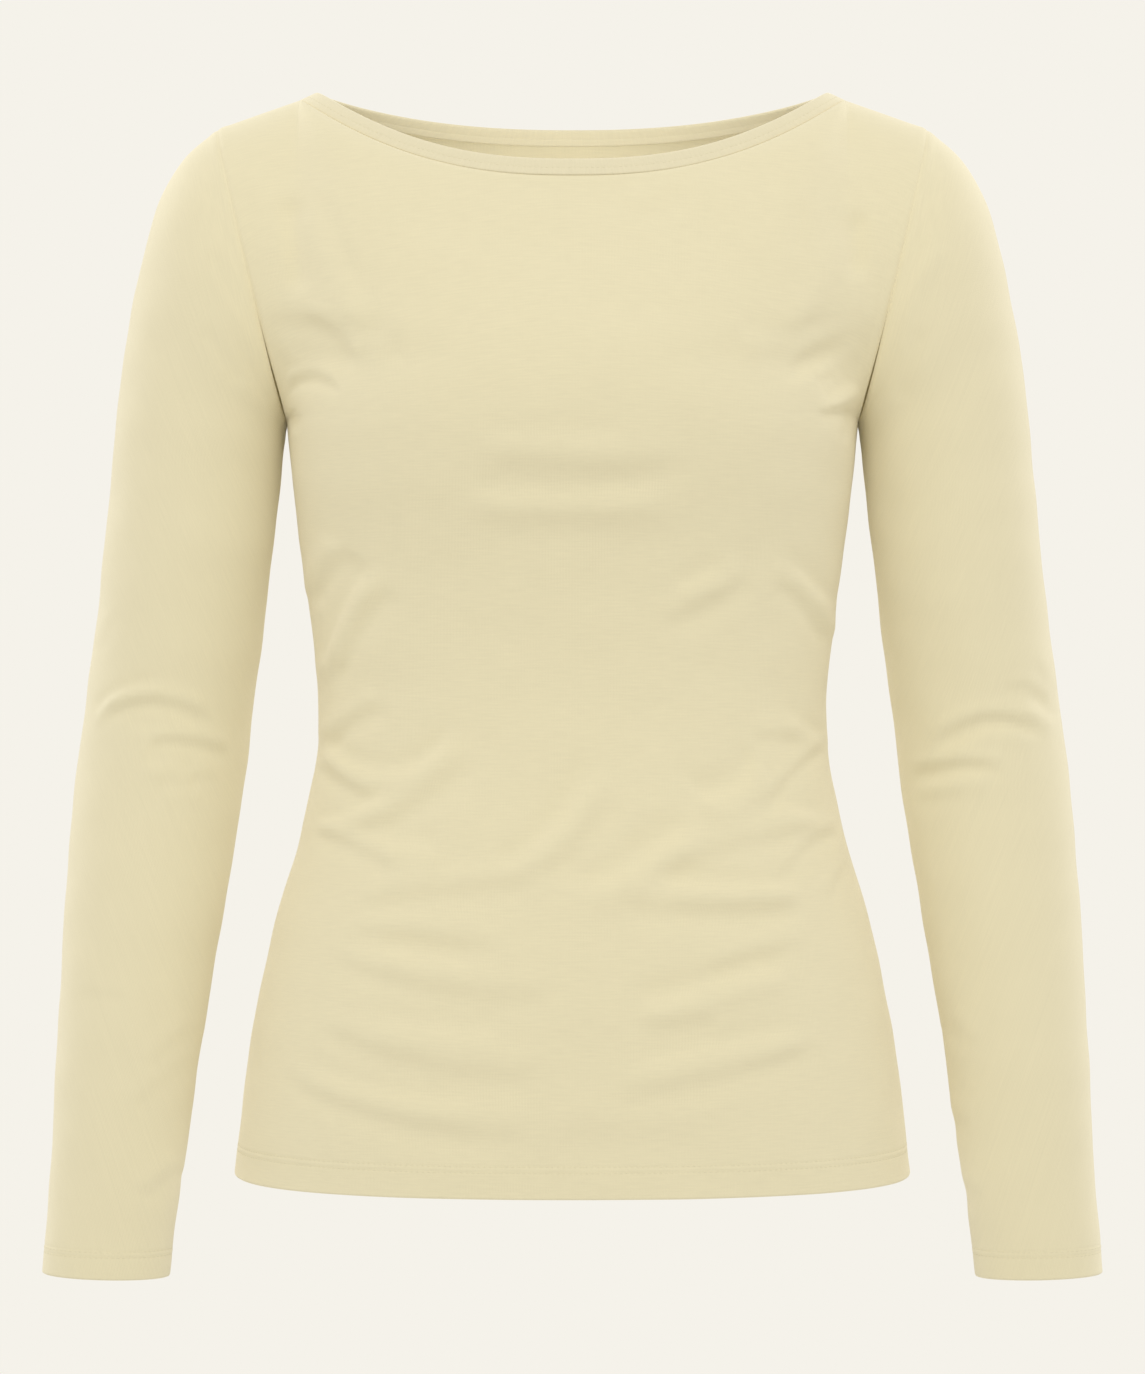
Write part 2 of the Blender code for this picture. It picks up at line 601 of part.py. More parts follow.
def make_sleeve(name, hand):
    """Sleeve on the wearer's left (hand 1) or right (hand -1)."""
    half = armhole_angles()
    around = np.concatenate([half[:-1], 2 * np.pi - half[:0:-1]])
    grid = sleeve_ring(sleeve_runs()[:, None], around[None, :])
    grid[0] += SEAM_GAP * ARMHOLE_OUT
    grid = grid + arm_folds(grid)[..., None] * surface_normals(grid, closed=True)
    normals = surface_normals(grid, closed=True)
    normals[0] = blend(normals[0], armhole_normals(around), armhole_share(around))
    wall = np.full(grid.shape[0], WALL)
    wall[-2:] = TURNED_WALL
    inner = grid - normals * wall[:, None, None]
    if hand < 0:
        flip = [-1.0, 1.0, 1.0]
        grid, inner = grid[:, ::-1] * flip, inner[:, ::-1] * flip
    return wall_mesh(name, grid, inner, True, JERSEY_COLOUR)


def make_binding(name):
    """Folded strip that stands on the neck edge, with a rounded top."""
    front = np.linspace(0.0, np.pi / 2, FRONT_NECK_COLUMNS + 1)
    back = np.linspace(0.0, np.pi / 2, BACK_NECK_COLUMNS + 1)
    flip = [-1.0, 1.0, 1.0]
    rings = []
    for side, angle in ((-1, front), (1, back)):
        seam, free = neck_edges(side, angle)
        rings.append((seam, free, neck_normals(side, angle)))
    loops = []
    for front_line, back_line in zip(*rings):
        left = np.concatenate([front_line, back_line[-2::-1]])
        right = left[-2:0:-1] * flip
        loops.append(np.concatenate([left, right]))
    seam, free, normals = loops
    up = unit(free - seam)
    foot = seam + up * SEAM_GAP - normals * WALL / 2
    height = free - seam - up * SEAM_GAP
    half = BINDING_THICKNESS / 2
    profile = BINDING_PROFILE + tuple((rise, -out) for rise, out in reversed(BINDING_PROFILE))
    grid = np.stack([foot + rise * height + out * half * normals for rise, out in profile])
    rows = np.concatenate([grid, grid[:1]])
    faces = grid_faces(len(rows), rows.shape[1], closed=True)
    faces = faces % (len(grid) * grid.shape[1])
    return make_object(name, grid.reshape(-1, 3), faces, BINDING_COLOUR)


def main():
    for old in list(bpy.data.objects):
        bpy.data.objects.remove(old)
    make_panel("front_panel", -1, FRONT_HALF_COLUMNS, FRONT_NECK_COLUMNS)
    make_panel("back_panel", 1, BACK_HALF_COLUMNS, BACK_NECK_COLUMNS)
    make_sleeve("sleeve_left", 1)
    make_sleeve("sleeve_right", -1)
    make_binding("neck_binding")


main()
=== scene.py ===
"""Long-sleeve t-shirt in fine butter-yellow jersey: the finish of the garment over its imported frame.

Metres. X runs to the wearer's left, the front faces -Y and Z is up. Every piece of cloth is a closed
thin shell on the form of its solid, from the same sections, with the creases of a worn garment,
rounded edges, sunk seams, twin-needle hems and the topstitched neck binding.
"""

import bpy
import numpy as np
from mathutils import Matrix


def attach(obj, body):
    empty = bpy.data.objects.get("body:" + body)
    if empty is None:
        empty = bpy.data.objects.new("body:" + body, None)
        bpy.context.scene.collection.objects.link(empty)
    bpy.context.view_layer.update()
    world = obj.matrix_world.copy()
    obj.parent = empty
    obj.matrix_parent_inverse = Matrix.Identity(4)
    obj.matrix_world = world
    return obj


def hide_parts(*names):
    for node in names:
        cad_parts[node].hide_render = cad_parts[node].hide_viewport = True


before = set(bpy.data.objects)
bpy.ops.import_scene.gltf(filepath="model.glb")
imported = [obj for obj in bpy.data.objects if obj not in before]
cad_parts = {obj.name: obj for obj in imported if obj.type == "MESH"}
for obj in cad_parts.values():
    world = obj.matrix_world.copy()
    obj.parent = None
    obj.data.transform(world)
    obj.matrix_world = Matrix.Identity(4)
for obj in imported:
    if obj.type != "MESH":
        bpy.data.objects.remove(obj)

bl_info = {
    "name": "Long-sleeve t-shirt",
    "version": (1, 0, 0),
    "blender": (4, 5, 0),
    "location": "3D View > Sidebar > Shirt",
    "description": "Finishes a boat-neck long-sleeve t-shirt in fine jersey",
    "category": "Object",
}

BODY = "root"
FRONT, BACK = -1, 1
MIRROR = np.array([-1.0, 1.0, 1.0])

# Levels and edges of the cut, as in the frame's source
HEM_LEVEL = -0.592
HEM_DIP = 0.003
UNDERARM_LEVEL = -0.178
NECK_HALF_WIDTH = 0.1496
NECK_POINT_LEVEL = -0.0022
NECK_RISE_POWER = 2.4
NECK_ROUNDNESS = 1.15
BINDING_HALF_WIDTH = 0.1400
BINDING_POINT_LEVEL = 0.0022
NECK_MIDDLES = {FRONT: (-0.0507, -0.0740), BACK: (-0.0207, 0.0550)}  # level, depth
BINDING_MIDDLES = {FRONT: (-0.0419, -0.0712), BACK: (-0.0122, 0.0528)}

# How a panel's rows run across and up
LEAST_REACH = 0.5
LIFT_POWER = 2.0
CORNER_POWER = 7.0
MEET_POWER = 8.0
TURN_FORWARD = 0.03
BEHIND_END = 0.35
FLARE_HEIGHT = 0.02
SEAM_LEAN = 0.30
UNDERARM_ANGLE = 0.7

# Where an eye straight in front sees the garment from. The front's creases are placed as it sees them.
EYE_DISTANCE = 2.6
EYE_LEVEL = -0.3245
VIEW_HEIGHT = 0.7557  # height of the view at the garment's middle

# Grids. Rows and columns crowd towards the seams, where the cloth dips.
NECK_SHARES = {FRONT: 11 / 15, BACK: 9 / 12}  # part of the half width that ends at the neck point
NECK_KNOTS = {FRONT: (0.0, 0.2, 7 / 15), BACK: (0.0, 0.25, 0.5)}
NECK_COLUMNS = 56
SHOULDER_COLUMNS = 34
EDGE_CROWDING = 1.6
LOWER_ROWS = 138
UPPER_ROWS = 72
SLEEVE_ROWS = 232
SLEEVE_COLUMNS_ROUND = 136
CAP_ROWS = 14  # rows over the first centimetre below the armhole
CAP_RUN = 0.010
CAP_CROWDING = 1.6
BINDING_COLUMNS = 92  # to each quarter of the neck

# Rows of a turned edge: where its runs of rows end, from the fold and from the raw edge, and their counts
FOLD_END = 0.0015
STITCHED_BELOW = 0.0053
STITCHED_ABOVE = 0.0013
PAST_RAW_EDGE = 0.0040
TURNED_COUNTS = (4, 6, 14, 2)

TORSO_COLUMNS = ("level", "half_width", "seam_depth")
TORSO_SECTIONS = (
    (-0.5920, 0.1856, 0.004),  # hem
    (-0.5410, 0.1799, 0.004),
    (-0.4970, 0.1730, 0.004),
    (-0.4530, 0.1631, 0.003),
    (-0.4090, 0.1502, 0.000),
    (-0.3870, 0.1449, -0.002),
    (-0.3650, 0.1405, -0.003),
    (-0.3350, 0.1391, -0.004),  # waist
    (-0.2990, 0.1422, -0.004),
    (-0.2550, 0.1480, -0.002),
    (-0.2110, 0.1537, 0.000),
    (-0.1780, 0.1570, 0.002),  # underarm
)
ROW_COLUMNS = ("level", "depth", "crown", "shoulder", "edge_angle")
PANEL_ROWS = {
    FRONT: (
        (-0.5920, -0.1100, 1.95, 1.90, 90.0),  # hem
        (-0.5400, -0.1110, 1.95, 1.90, 90.0),
        (-0.4800, -0.1090, 1.95, 1.85, 90.0),  # belly
        (-0.4200, -0.1000, 1.95, 1.80, 90.0),
        (-0.3700, -0.0915, 1.95, 1.80, 90.0),
        (-0.3300, -0.0890, 1.95, 1.80, 90.0),  # waist
        (-0.2900, -0.0920, 1.98, 1.80, 90.0),
        (-0.2500, -0.0990, 2.02, 1.80, 90.0),
        (-0.2150, -0.1090, 2.06, 1.80, 90.0),
        (-0.1780, -0.1150, 2.06, 1.80, 90.0),  # underarm
        (-0.1500, -0.1130, 1.90, 1.45, 52.0),
        (-0.1200, -0.1030, 1.70, 1.20, 32.0),
        (-0.0860, -0.0885, 1.50, 1.05, 24.0),
        (-0.0507, -0.0740, 1.30, 1.00, 18.0),  # neck
    ),
    BACK: (
        (-0.5920, 0.1180, 1.90, 1.85, 90.0),  # hem
        (-0.5400, 0.1180, 1.90, 1.85, 90.0),
        (-0.4800, 0.1080, 1.90, 1.80, 90.0),
        (-0.4200, 0.0880, 1.90, 1.75, 90.0),
        (-0.3700, 0.0740, 1.90, 1.75, 90.0),
        (-0.3300, 0.0710, 1.90, 1.75, 90.0),  # small of the back
        (-0.2800, 0.0790, 1.90, 1.75, 90.0),
        (-0.2300, 0.0920, 1.92, 1.75, 90.0),
        (-0.1780, 0.1000, 1.92, 1.75, 90.0),  # underarm
        (-0.1400, 0.1010, 1.80, 1.40, 55.0),
        (-0.1000, 0.0940, 1.65, 1.15, 34.0),
        (-0.0600, 0.0780, 1.45, 1.05, 24.0),
        (-0.0207, 0.0550, 1.30, 1.00, 18.0),  # nape
    ),
}
SLEEVE_COLUMNS = ("outer_x", "outer_z", "inner_x", "inner_z", "half_depth", "middle")
SLEEVE_SECTIONS = (
    (0.1950, -0.0180, 0.1570, -0.1780, 0.0520, 0.002),  # armhole
    (0.2140, -0.0347, 0.1572, -0.1790, 0.0545, 0.002),
    (0.2266, -0.0567, 0.1576, -0.1812, 0.0555, 0.003),
    (0.2365, -0.0897, 0.1580, -0.1840, 0.0550, 0.003),
    (0.2453, -0.1337, 0.1585, -0.1885, 0.0530, 0.004),
    (0.2513, -0.1800, 0.1597, -0.1980, 0.0510, 0.004),  # upper arm
    (0.2540, -0.2107, 0.1613, -0.2140, 0.0500, 0.005),
    (0.2586, -0.2547, 0.1661, -0.2547, 0.0490, 0.006),
    (0.2636, -0.2987, 0.1715, -0.2987, 0.0480, 0.009),
    (0.2700, -0.3427, 0.1773, -0.3427, 0.0475, 0.011),  # elbow
    (0.2749, -0.3867, 0.1825, -0.3867, 0.0460, 0.007),
    (0.2780, -0.4307, 0.1891, -0.4307, 0.0440, 0.000),
    (0.2800, -0.4747, 0.1963, -0.4747, 0.0415, -0.007),
    (0.2817, -0.5187, 0.2030, -0.5187, 0.0385, -0.014),
    (0.2833, -0.5627, 0.2088, -0.5627, 0.0350, -0.020),
    (0.2855, -0.6067, 0.2150, -0.6067, 0.0310, -0.026),
    (0.2884, -0.6426, 0.2193, -0.6447, 0.0280, -0.030),  # cuff
)

# Folds of a worn garment. A fold's flank runs from (x0, z0) to (x1, z1), its middle bowed up, with a
# half width at each end. With skew 1 the cloth crests above the line and sinks below it, so that the
# line is in shade, or the other way round where the height is below zero. With skew 0 the line itself
# is a ridge, or a trough where the height is below zero.
CREASE_COLUMNS = ("x0", "z0", "x1", "z1", "bow", "width0", "width1", "height", "skew")
FRONT_CREASES = (
    # chest, at the armholes
    (-0.1557, -0.0567, -0.1518, -0.1073, 0.001, 0.0061, 0.0061, -0.00248, 0),
    (-0.1733, -0.1315, -0.0995, -0.1337, 0.000, 0.0104, 0.0104, -0.00134, 1),
    (-0.1479, -0.1194, -0.1172, -0.1447, 0.003, 0.0067, 0.0067, 0.00086, 1),
    (-0.1469, -0.0627, -0.1172, -0.1282, -0.002, 0.0077, 0.0077, 0.00122, 0),
    (-0.1381, -0.0550, -0.1106, -0.1117, -0.002, 0.0055, 0.0055, -0.00087, 0),
    (-0.1568, -0.1403, -0.1254, -0.1496, 0.003, 0.0052, 0.0052, -0.00038, 1),
    (-0.1579, -0.1590, -0.1293, -0.1590, 0.006, 0.0045, 0.0045, 0.00111, 1),
    (-0.1562, -0.1727, -0.1512, -0.1821, 0.000, 0.0033, 0.0033, -0.00135, 0),
    (0.1183, -0.1491, 0.1590, -0.1287, 0.004, 0.0067, 0.0067, 0.00086, 1),
    (0.0908, -0.1326, 0.1612, -0.1304, 0.000, 0.0104, 0.0104, -0.00134, 1),
    (0.1172, -0.1590, 0.1502, -0.1414, 0.002, 0.0052, 0.0052, -0.00038, 1),
    (0.1337, -0.1551, 0.1436, -0.1512, 0.000, 0.0045, 0.0045, 0.00057, 1),
    (0.1403, -0.1678, 0.1557, -0.1568, 0.000, 0.0045, 0.0045, -0.00057, 1),
    (0.1358, -0.1738, 0.1600, -0.1656, -0.001, 0.0045, 0.0045, 0.00084, 1),
    (0.1496, -0.1887, 0.1524, -0.1711, 0.000, 0.0028, 0.0028, -0.00113, 0),
    (0.1562, -0.0649, 0.1562, -0.0979, 0.000, 0.0061, 0.0061, -0.00248, 0),
    (0.1183, -0.1293, 0.1469, -0.0759, -0.003, 0.0077, 0.0077, 0.00122, 0),
    (0.1221, -0.0869, 0.1265, -0.0594, 0.000, 0.0055, 0.0055, -0.00087, 0),
    (0.0369, -0.0649, 0.0561, -0.0457, 0.000, 0.0089, 0.0089, 0.00065, 1),
    # below the bust
    (-0.0512, -0.1876, 0.0286, -0.1892, 0.001, 0.0089, 0.0089, -0.00065, 1),
    (-0.0457, -0.2002, 0.0616, -0.2008, -0.003, 0.0104, 0.0104, 0.00076, 1),
    (-0.0567, -0.2184, 0.0479, -0.2173, -0.003, 0.0089, 0.0089, -0.00115, 1),
    (-0.0649, -0.2332, 0.0506, -0.2327, -0.002, 0.0126, 0.0126, 0.00027, 1),
    (-0.1452, -0.2767, -0.1254, -0.2481, 0.002, 0.0059, 0.0089, 0.00140, 1),
    (-0.1337, -0.3124, -0.1100, -0.2585, 0.003, 0.0059, 0.0082, -0.00133, 1),
    (-0.1326, -0.3218, -0.1051, -0.2701, 0.003, 0.0059, 0.0089, 0.00140, 1),
    (0.0578, -0.2712, 0.0820, -0.2613, 0.000, 0.0067, 0.0082, -0.00096, 1),
    (0.0501, -0.2888, 0.0963, -0.2629, -0.002, 0.0082, 0.0089, 0.00110, 1),
    (0.1139, -0.2530, 0.1425, -0.2800, 0.000, 0.0067, 0.0052, -0.00076, 1),
    (0.1172, -0.2656, 0.1425, -0.2987, 0.001, 0.0067, 0.0052, 0.00112, 1),
    # waist, wearer's right
    (-0.1370, -0.3553, -0.1051, -0.3333, 0.002, 0.0052, 0.0074, 0.00119, 1),
    (-0.1358, -0.3575, -0.0665, -0.3526, -0.017, 0.0067, 0.0082, -0.00140, 1),
    (-0.1381, -0.3647, -0.1095, -0.3845, -0.002, 0.0052, 0.0059, 0.00105, 1),
    (-0.1216, -0.4021, -0.0567, -0.3603, -0.006, 0.0067, 0.0097, 0.00154, 1),
    (-0.1403, -0.3999, -0.0995, -0.3850, -0.002, 0.0052, 0.0082, -0.00086, 1),
    (-0.1414, -0.4021, -0.0963, -0.4241, 0.001, 0.0045, 0.0067, 0.00105, 1),
    (-0.1051, -0.4120, -0.0732, -0.4142, 0.001, 0.0097, 0.0097, -0.00124, 1),
    # waist, wearer's left
    (0.1155, -0.3361, 0.1370, -0.3526, -0.002, 0.0059, 0.0045, -0.00067, 1),
    (0.0985, -0.3503, 0.1249, -0.3520, 0.000, 0.0067, 0.0052, 0.00076, 1),
    (0.0688, -0.3867, 0.1018, -0.3647, -0.007, 0.0111, 0.0097, -0.00196, 1),
    (0.1051, -0.3900, 0.1381, -0.3558, 0.002, 0.0059, 0.0037, 0.00091, 1),
    (0.1095, -0.3900, 0.1358, -0.3977, 0.001, 0.0074, 0.0052, -0.00081, 1),
    (0.0391, -0.4279, 0.1414, -0.4010, 0.004, 0.0104, 0.0067, 0.00110, 1),
    (0.1139, -0.4241, 0.1447, -0.4010, 0.001, 0.0067, 0.0037, 0.00098, 1),
    (0.1029, -0.4285, 0.1238, -0.4131, 0.000, 0.0059, 0.0059, -0.00043, 1),
    (0.1403, -0.4395, 0.1491, -0.4208, 0.000, 0.0052, 0.0037, 0.00057, 1),
    # over the middle of the waist
    (-0.0358, -0.4252, 0.0116, -0.3679, -0.006, 0.0089, 0.0097, -0.00175, 1),
    (-0.0192, -0.4263, 0.0181, -0.3850, -0.004, 0.0089, 0.0097, 0.00120, 1),
    (0.0039, -0.4378, 0.0655, -0.4021, -0.003, 0.0097, 0.0097, -0.00182, 1),
    (0.0270, -0.4098, 0.0445, -0.3900, -0.002, 0.0097, 0.0089, 0.00068, 1),
    (-0.0732, -0.4285, -0.0292, -0.4230, 0.000, 0.0074, 0.0074, -0.00054, 1),
    # belly, wearer's right
    (-0.1172, -0.4433, -0.0226, -0.4301, 0.002, 0.0082, 0.0104, 0.00120, 1),
    (-0.1216, -0.4576, -0.0402, -0.4670, 0.001, 0.0074, 0.0082, 0.00100, 1),
    (-0.1062, -0.4692, -0.0567, -0.4791, 0.000, 0.0082, 0.0082, -0.00105, 1),
    (-0.1315, -0.4730, -0.0116, -0.4928, -0.007, 0.0067, 0.0104, 0.00110, 1),
    (-0.1089, -0.5088, -0.0374, -0.5165, -0.001, 0.0089, 0.0089, -0.00115, 1),
    (-0.1381, -0.5104, -0.0171, -0.5368, -0.008, 0.0074, 0.0104, 0.00115, 1),
    (-0.1502, -0.5363, -0.0512, -0.5561, -0.004, 0.0074, 0.0089, -0.00105, 1),
    (-0.1568, -0.5368, -0.0237, -0.5704, -0.009, 0.0074, 0.0111, 0.00120, 1),
    # belly, wearer's left
    (0.0501, -0.4334, 0.1249, -0.4345, -0.001, 0.0082, 0.0067, -0.00140, 1),
    (0.0270, -0.4422, 0.1249, -0.4433, -0.003, 0.0097, 0.0082, 0.00168, 1),
    (0.0726, -0.4802, 0.1249, -0.4653, 0.001, 0.0082, 0.0067, 0.00096, 1),
    (0.0369, -0.5021, 0.1172, -0.4791, 0.001, 0.0097, 0.0082, -0.00168, 1),
    (0.0369, -0.5077, 0.0787, -0.5060, -0.001, 0.0082, 0.0082, 0.00105, 1),
    (0.0347, -0.5341, 0.1260, -0.5148, 0.001, 0.0089, 0.0074, -0.00105, 1),
    (0.0237, -0.5494, 0.1337, -0.5209, -0.003, 0.0104, 0.0074, 0.00115, 1),
    (-0.0072, -0.5682, 0.0699, -0.5682, 0.000, 0.0149, 0.0149, 0.00108, 1),
)
BACK_CREASES = (
    # into the small of the back
    (-0.1300, -0.3350, -0.0200, -0.3700, -0.010, 0.0096, 0.0132, 0.00270, 1),
    (-0.1340, -0.3560, -0.0500, -0.3830, -0.008, 0.0064, 0.0088, -0.00164, 1),
    (0.0150, -0.3600, 0.1280, -0.3250, -0.010, 0.0096, 0.0132, 0.00270, 1),
    (0.0350, -0.3800, 0.1300, -0.3480, -0.008, 0.0064, 0.0088, -0.00164, 1),
    (-0.1150, -0.3950, 0.0250, -0.4050, -0.008, 0.0088, 0.0121, 0.00239, 1),
    (0.0400, -0.4080, 0.1250, -0.3920, -0.005, 0.0064, 0.0088, 0.00150, 1),
    (-0.0350, -0.3150, 0.1100, -0.2900, -0.008, 0.0088, 0.0121, 0.00211, 1),
    (-0.1000, -0.2850, 0.0200, -0.3080, -0.006, 0.0088, 0.0121, 0.00195, 1),
    (-0.1200, -0.3120, -0.0500, -0.3300, -0.004, 0.0056, 0.0077, -0.00104, 1),
    (0.0550, -0.3120, 0.1250, -0.2980, -0.004, 0.0056, 0.0077, -0.00090, 1),
    (-0.0700, -0.2560, 0.0500, -0.2640, -0.004, 0.0072, 0.0099, 0.00104, 1),
    # below the shoulder blades and at the underarms
    (-0.1500, -0.1450, -0.1100, -0.1750, 0.005, 0.0080, 0.0110, 0.00195, 1),
    (-0.1480, -0.1750, -0.1000, -0.2100, 0.004, 0.0064, 0.0088, 0.00121, 1),
    (0.1120, -0.1800, 0.1500, -0.1500, 0.005, 0.0080, 0.0110, 0.00195, 1),
    (0.1030, -0.2130, 0.1480, -0.1800, 0.004, 0.0064, 0.0088, 0.00121, 1),
    (-0.1500, -0.0750, -0.1420, -0.1200, 0.002, 0.0090, 0.0090, -0.00120, 0),
    (0.1430, -0.1230, 0.1510, -0.0780, 0.002, 0.0090, 0.0090, -0.00120, 0),
    # over the seat
    (-0.1350, -0.4380, -0.0500, -0.4520, -0.004, 0.0072, 0.0099, 0.00121, 1),
    (0.0450, -0.4560, 0.1300, -0.4400, -0.004, 0.0072, 0.0099, 0.00104, 1),
    (-0.1250, -0.5150, -0.0300, -0.5330, -0.006, 0.0080, 0.0110, 0.00104, 1),
    (0.0350, -0.5360, 0.1350, -0.5180, -0.006, 0.0080, 0.0110, 0.00121, 1),
)
# Creases of a sleeve that face forwards, placed as the eye sees them, and those behind
RIGHT_ARM_CREASES = (
    (-0.1930, -0.0594, -0.1777, -0.0908, 0.000, 0.0050, 0.0050, -0.00078, 0),
    (-0.1986, -0.0853, -0.1711, -0.1293, -0.001, 0.0055, 0.0044, -0.00138, 0),
    (-0.2030, -0.1282, -0.1821, -0.1579, 0.000, 0.0050, 0.0044, -0.00074, 0),
    (-0.2629, -0.3405, -0.2261, -0.3234, 0.005, 0.0045, 0.0045, -0.00084, 1),
    (-0.2580, -0.3382, -0.2008, -0.3410, 0.008, 0.0052, 0.0059, 0.00139, 1),
    (-0.2459, -0.3482, -0.2272, -0.3503, 0.002, 0.0052, 0.0052, -0.00038, 1),
    (-0.2327, -0.3537, -0.1898, -0.3597, 0.003, 0.0045, 0.0052, 0.00120, 1),
    (-0.2365, -0.3658, -0.2074, -0.3724, 0.000, 0.0059, 0.0059, -0.00076, 1),
    (-0.2283, -0.3707, -0.1964, -0.3746, 0.001, 0.0052, 0.0052, 0.00038, 1),
    (-0.2272, -0.3812, -0.2041, -0.3812, 0.000, 0.0059, 0.0059, -0.00043, 1),
    (-0.2722, -0.4917, -0.2459, -0.4945, 0.001, 0.0045, 0.0045, 0.00033, 1),
    (-0.2349, -0.5330, -0.2085, -0.5088, 0.000, 0.0067, 0.0067, 0.00049, 1),
    (-0.2426, -0.5550, -0.2118, -0.5269, 0.000, 0.0067, 0.0067, 0.00049, 1),
    (-0.2382, -0.6034, -0.2173, -0.5863, -0.001, 0.0067, 0.0067, 0.00086, 1),
    (-0.2624, -0.3042, -0.2535, -0.2849, 0.000, 0.0045, 0.0045, 0.00033, 1),
)
LEFT_ARM_CREASES = (
    (0.1744, -0.1260, 0.2019, -0.0830, 0.000, 0.0050, 0.0050, 0.00078, 0),
    (0.1689, -0.1172, 0.1936, -0.0787, 0.000, 0.0050, 0.0050, -0.00138, 0),
    (0.1799, -0.1667, 0.1920, -0.1282, 0.000, 0.0050, 0.0050, -0.00078, 0),
    (0.2371, -0.3240, 0.2624, -0.3322, 0.004, 0.0045, 0.0045, 0.00057, 1),
    (0.2492, -0.3317, 0.2656, -0.3449, 0.001, 0.0052, 0.0045, -0.00062, 1),
    (0.1986, -0.3548, 0.2580, -0.3465, 0.010, 0.0059, 0.0052, 0.00139, 1),
    (0.2074, -0.3603, 0.2514, -0.3515, 0.007, 0.0059, 0.0052, -0.00072, 1),
    (0.1865, -0.3707, 0.2360, -0.3674, 0.003, 0.0052, 0.0052, 0.00129, 1),
    (0.1942, -0.3779, 0.2272, -0.3729, 0.001, 0.0059, 0.0059, -0.00076, 1),
    (0.1898, -0.3856, 0.2140, -0.3817, 0.000, 0.0052, 0.0052, 0.00038, 1),
    (0.2063, -0.5066, 0.2217, -0.5198, 0.000, 0.0067, 0.0067, 0.00049, 1),
    (0.1953, -0.5550, 0.2184, -0.5649, 0.001, 0.0067, 0.0067, 0.00049, 1),
    (0.2051, -0.5935, 0.2250, -0.6045, 0.001, 0.0067, 0.0067, 0.00049, 1),
    (0.2569, -0.3097, 0.2624, -0.3261, 0.000, 0.0045, 0.0045, 0.00033, 1),
)
ARM_BACK_CREASES = (
    (0.1850, -0.3250, 0.2350, -0.3330, 0.004, 0.0064, 0.0088, 0.00058, 1),
    (0.2050, -0.3480, 0.2600, -0.3420, 0.003, 0.0064, 0.0088, 0.00050, 1),
    (0.1900, -0.2300, 0.2200, -0.1650, 0.000, 0.0100, 0.0100, -0.00180, 0),
    (0.1780, -0.1350, 0.2000, -0.0880, 0.000, 0.0090, 0.0090, -0.00120, 0),
)
CALM_WIDTH = 0.020  # creases fade out over this distance from the armhole and neck seams
SIDE_WIDTH = 0.03  # front creases give way to back ones over this depth each side of the middle
CREASE_END = 0.3  # how far a crease's smooth step has come at its ends, beyond which it runs out
SKEW_GAIN = 2.33  # makes a skewed fold's crest as high as its height
# Slow waves in the cloth: waves to a metre across and up, phase, and height
WAVE_COLUMNS = ("across", "up", "phase", "height")
WAVES = (
    (9.0, 14.0, 0.4, 0.00018),
    (-13.0, 21.0, 2.1, 0.00012),
    (21.0, 9.0, 4.0, 0.00010),
    (5.0, 33.0, 1.2, 0.00008),
)

# Sunk seams: the cloth dips to the seam over this half width, with a low roll beside it
SEAM_HALF_WIDTH = 0.0011
ROLL_PLACE = 0.0036
ROLL_HALF_WIDTH = 0.0022
ROLL_HEIGHT = 0.00022
SIDE_SEAM_SHARE = 0.55  # dips of the side, top and sleeve seams, as shares of the armhole's
TOP_SEAM_SHARE = 0.5
SLEEVE_SEAM_SHARE = 0.5
# Both walls turn parallel to the seam's own normal over these distances from it
SEAM_TURN_WIDTH = 0.008
TOP_TURN_WIDTH = 0.006
ARMPIT_ROWS = 12  # rows over which the side seam's normal is given up below the armpit

# Twin-needle rows below the raw edge of a turned hem
UPPER_ROW_BELOW = 0.00035
NEEDLE_SPACING = 0.0033
NEEDLE_DIP = 0.00013
NEEDLE_DIP_WIDTH = 0.00075
TUNNEL_HEIGHT = 0.00010
TUNNEL_WIDTH = 0.0010
TURN_STEP = 0.0015  # the turned cloth runs out over this distance at its raw edge
FOLD_CLOSING = 0.92  # how far the two faces of a folded edge come together

# Binding: one strip with both edges turned in, folded over the neck edge. Each point of its line is
# how far out it lies, as a share of half the binding's thickness, and how far up, as a share of its height
BINDING_LINE = (
    (0.22, 0.70),
    (0.22, 0.40),
    (0.22, 0.08),
    (0.34, 0.02),
    (0.56, 0.00),
    (0.72, 0.03),
    (0.76, 0.09),
    (0.79, 0.20),
    (0.79, 0.32),
    (0.76, 0.38),
    (0.68, 0.43),
    (0.76, 0.48),
    (0.80, 0.55),
    (0.81, 0.70),
    (0.78, 0.84),
    (0.68, 0.92),
    (0.46, 0.97),
    (0.18, 1.00),
)
BINDING_CLOTH = 0.0005
NECK_ROW = (0.68, 0.43)  # the topstitched groove of that line

# Form of a stitch: its sides and rings, how far it tapers, and shares of its width
STITCH_SIDES = 6
STITCH_RINGS = 6
STITCH_TAPER = 0.86
STITCH_HALF_HEIGHT = 0.35
STITCH_SINK = 0.45

# Shades and relief of the yarn, with the painted shade that the loops' height puts into their grooves
LOOP_CONTRAST = 0.35
# Painted shade: the loops' height darkens the cloth's colour in the grooves between them and lightens it
# on their tops
LOOP_GROOVE_PAINTED_SHADE = 0.04
ROUGHNESS_SPREAD = 0.1
SLUB_RELIEF = 0.5
THREAD_SHADE = 0.88
TWIST_SCALE = 1800.0

# Places of the lights, and the floor's edge
KEY_PLACE = (0.0, -3.2, 3.0)
RIM_PLACE = (2.0, 1.6, 0.8)
NECK_LIGHT_PLACE = (0.0, -0.03, -0.13)
NECK_LIGHT_SIZE = 0.12
FLOOR_SIDES = 96


def columns(names, table):
    """The table's columns as arrays, by name."""
    return dict(zip(names, np.array(table).T))


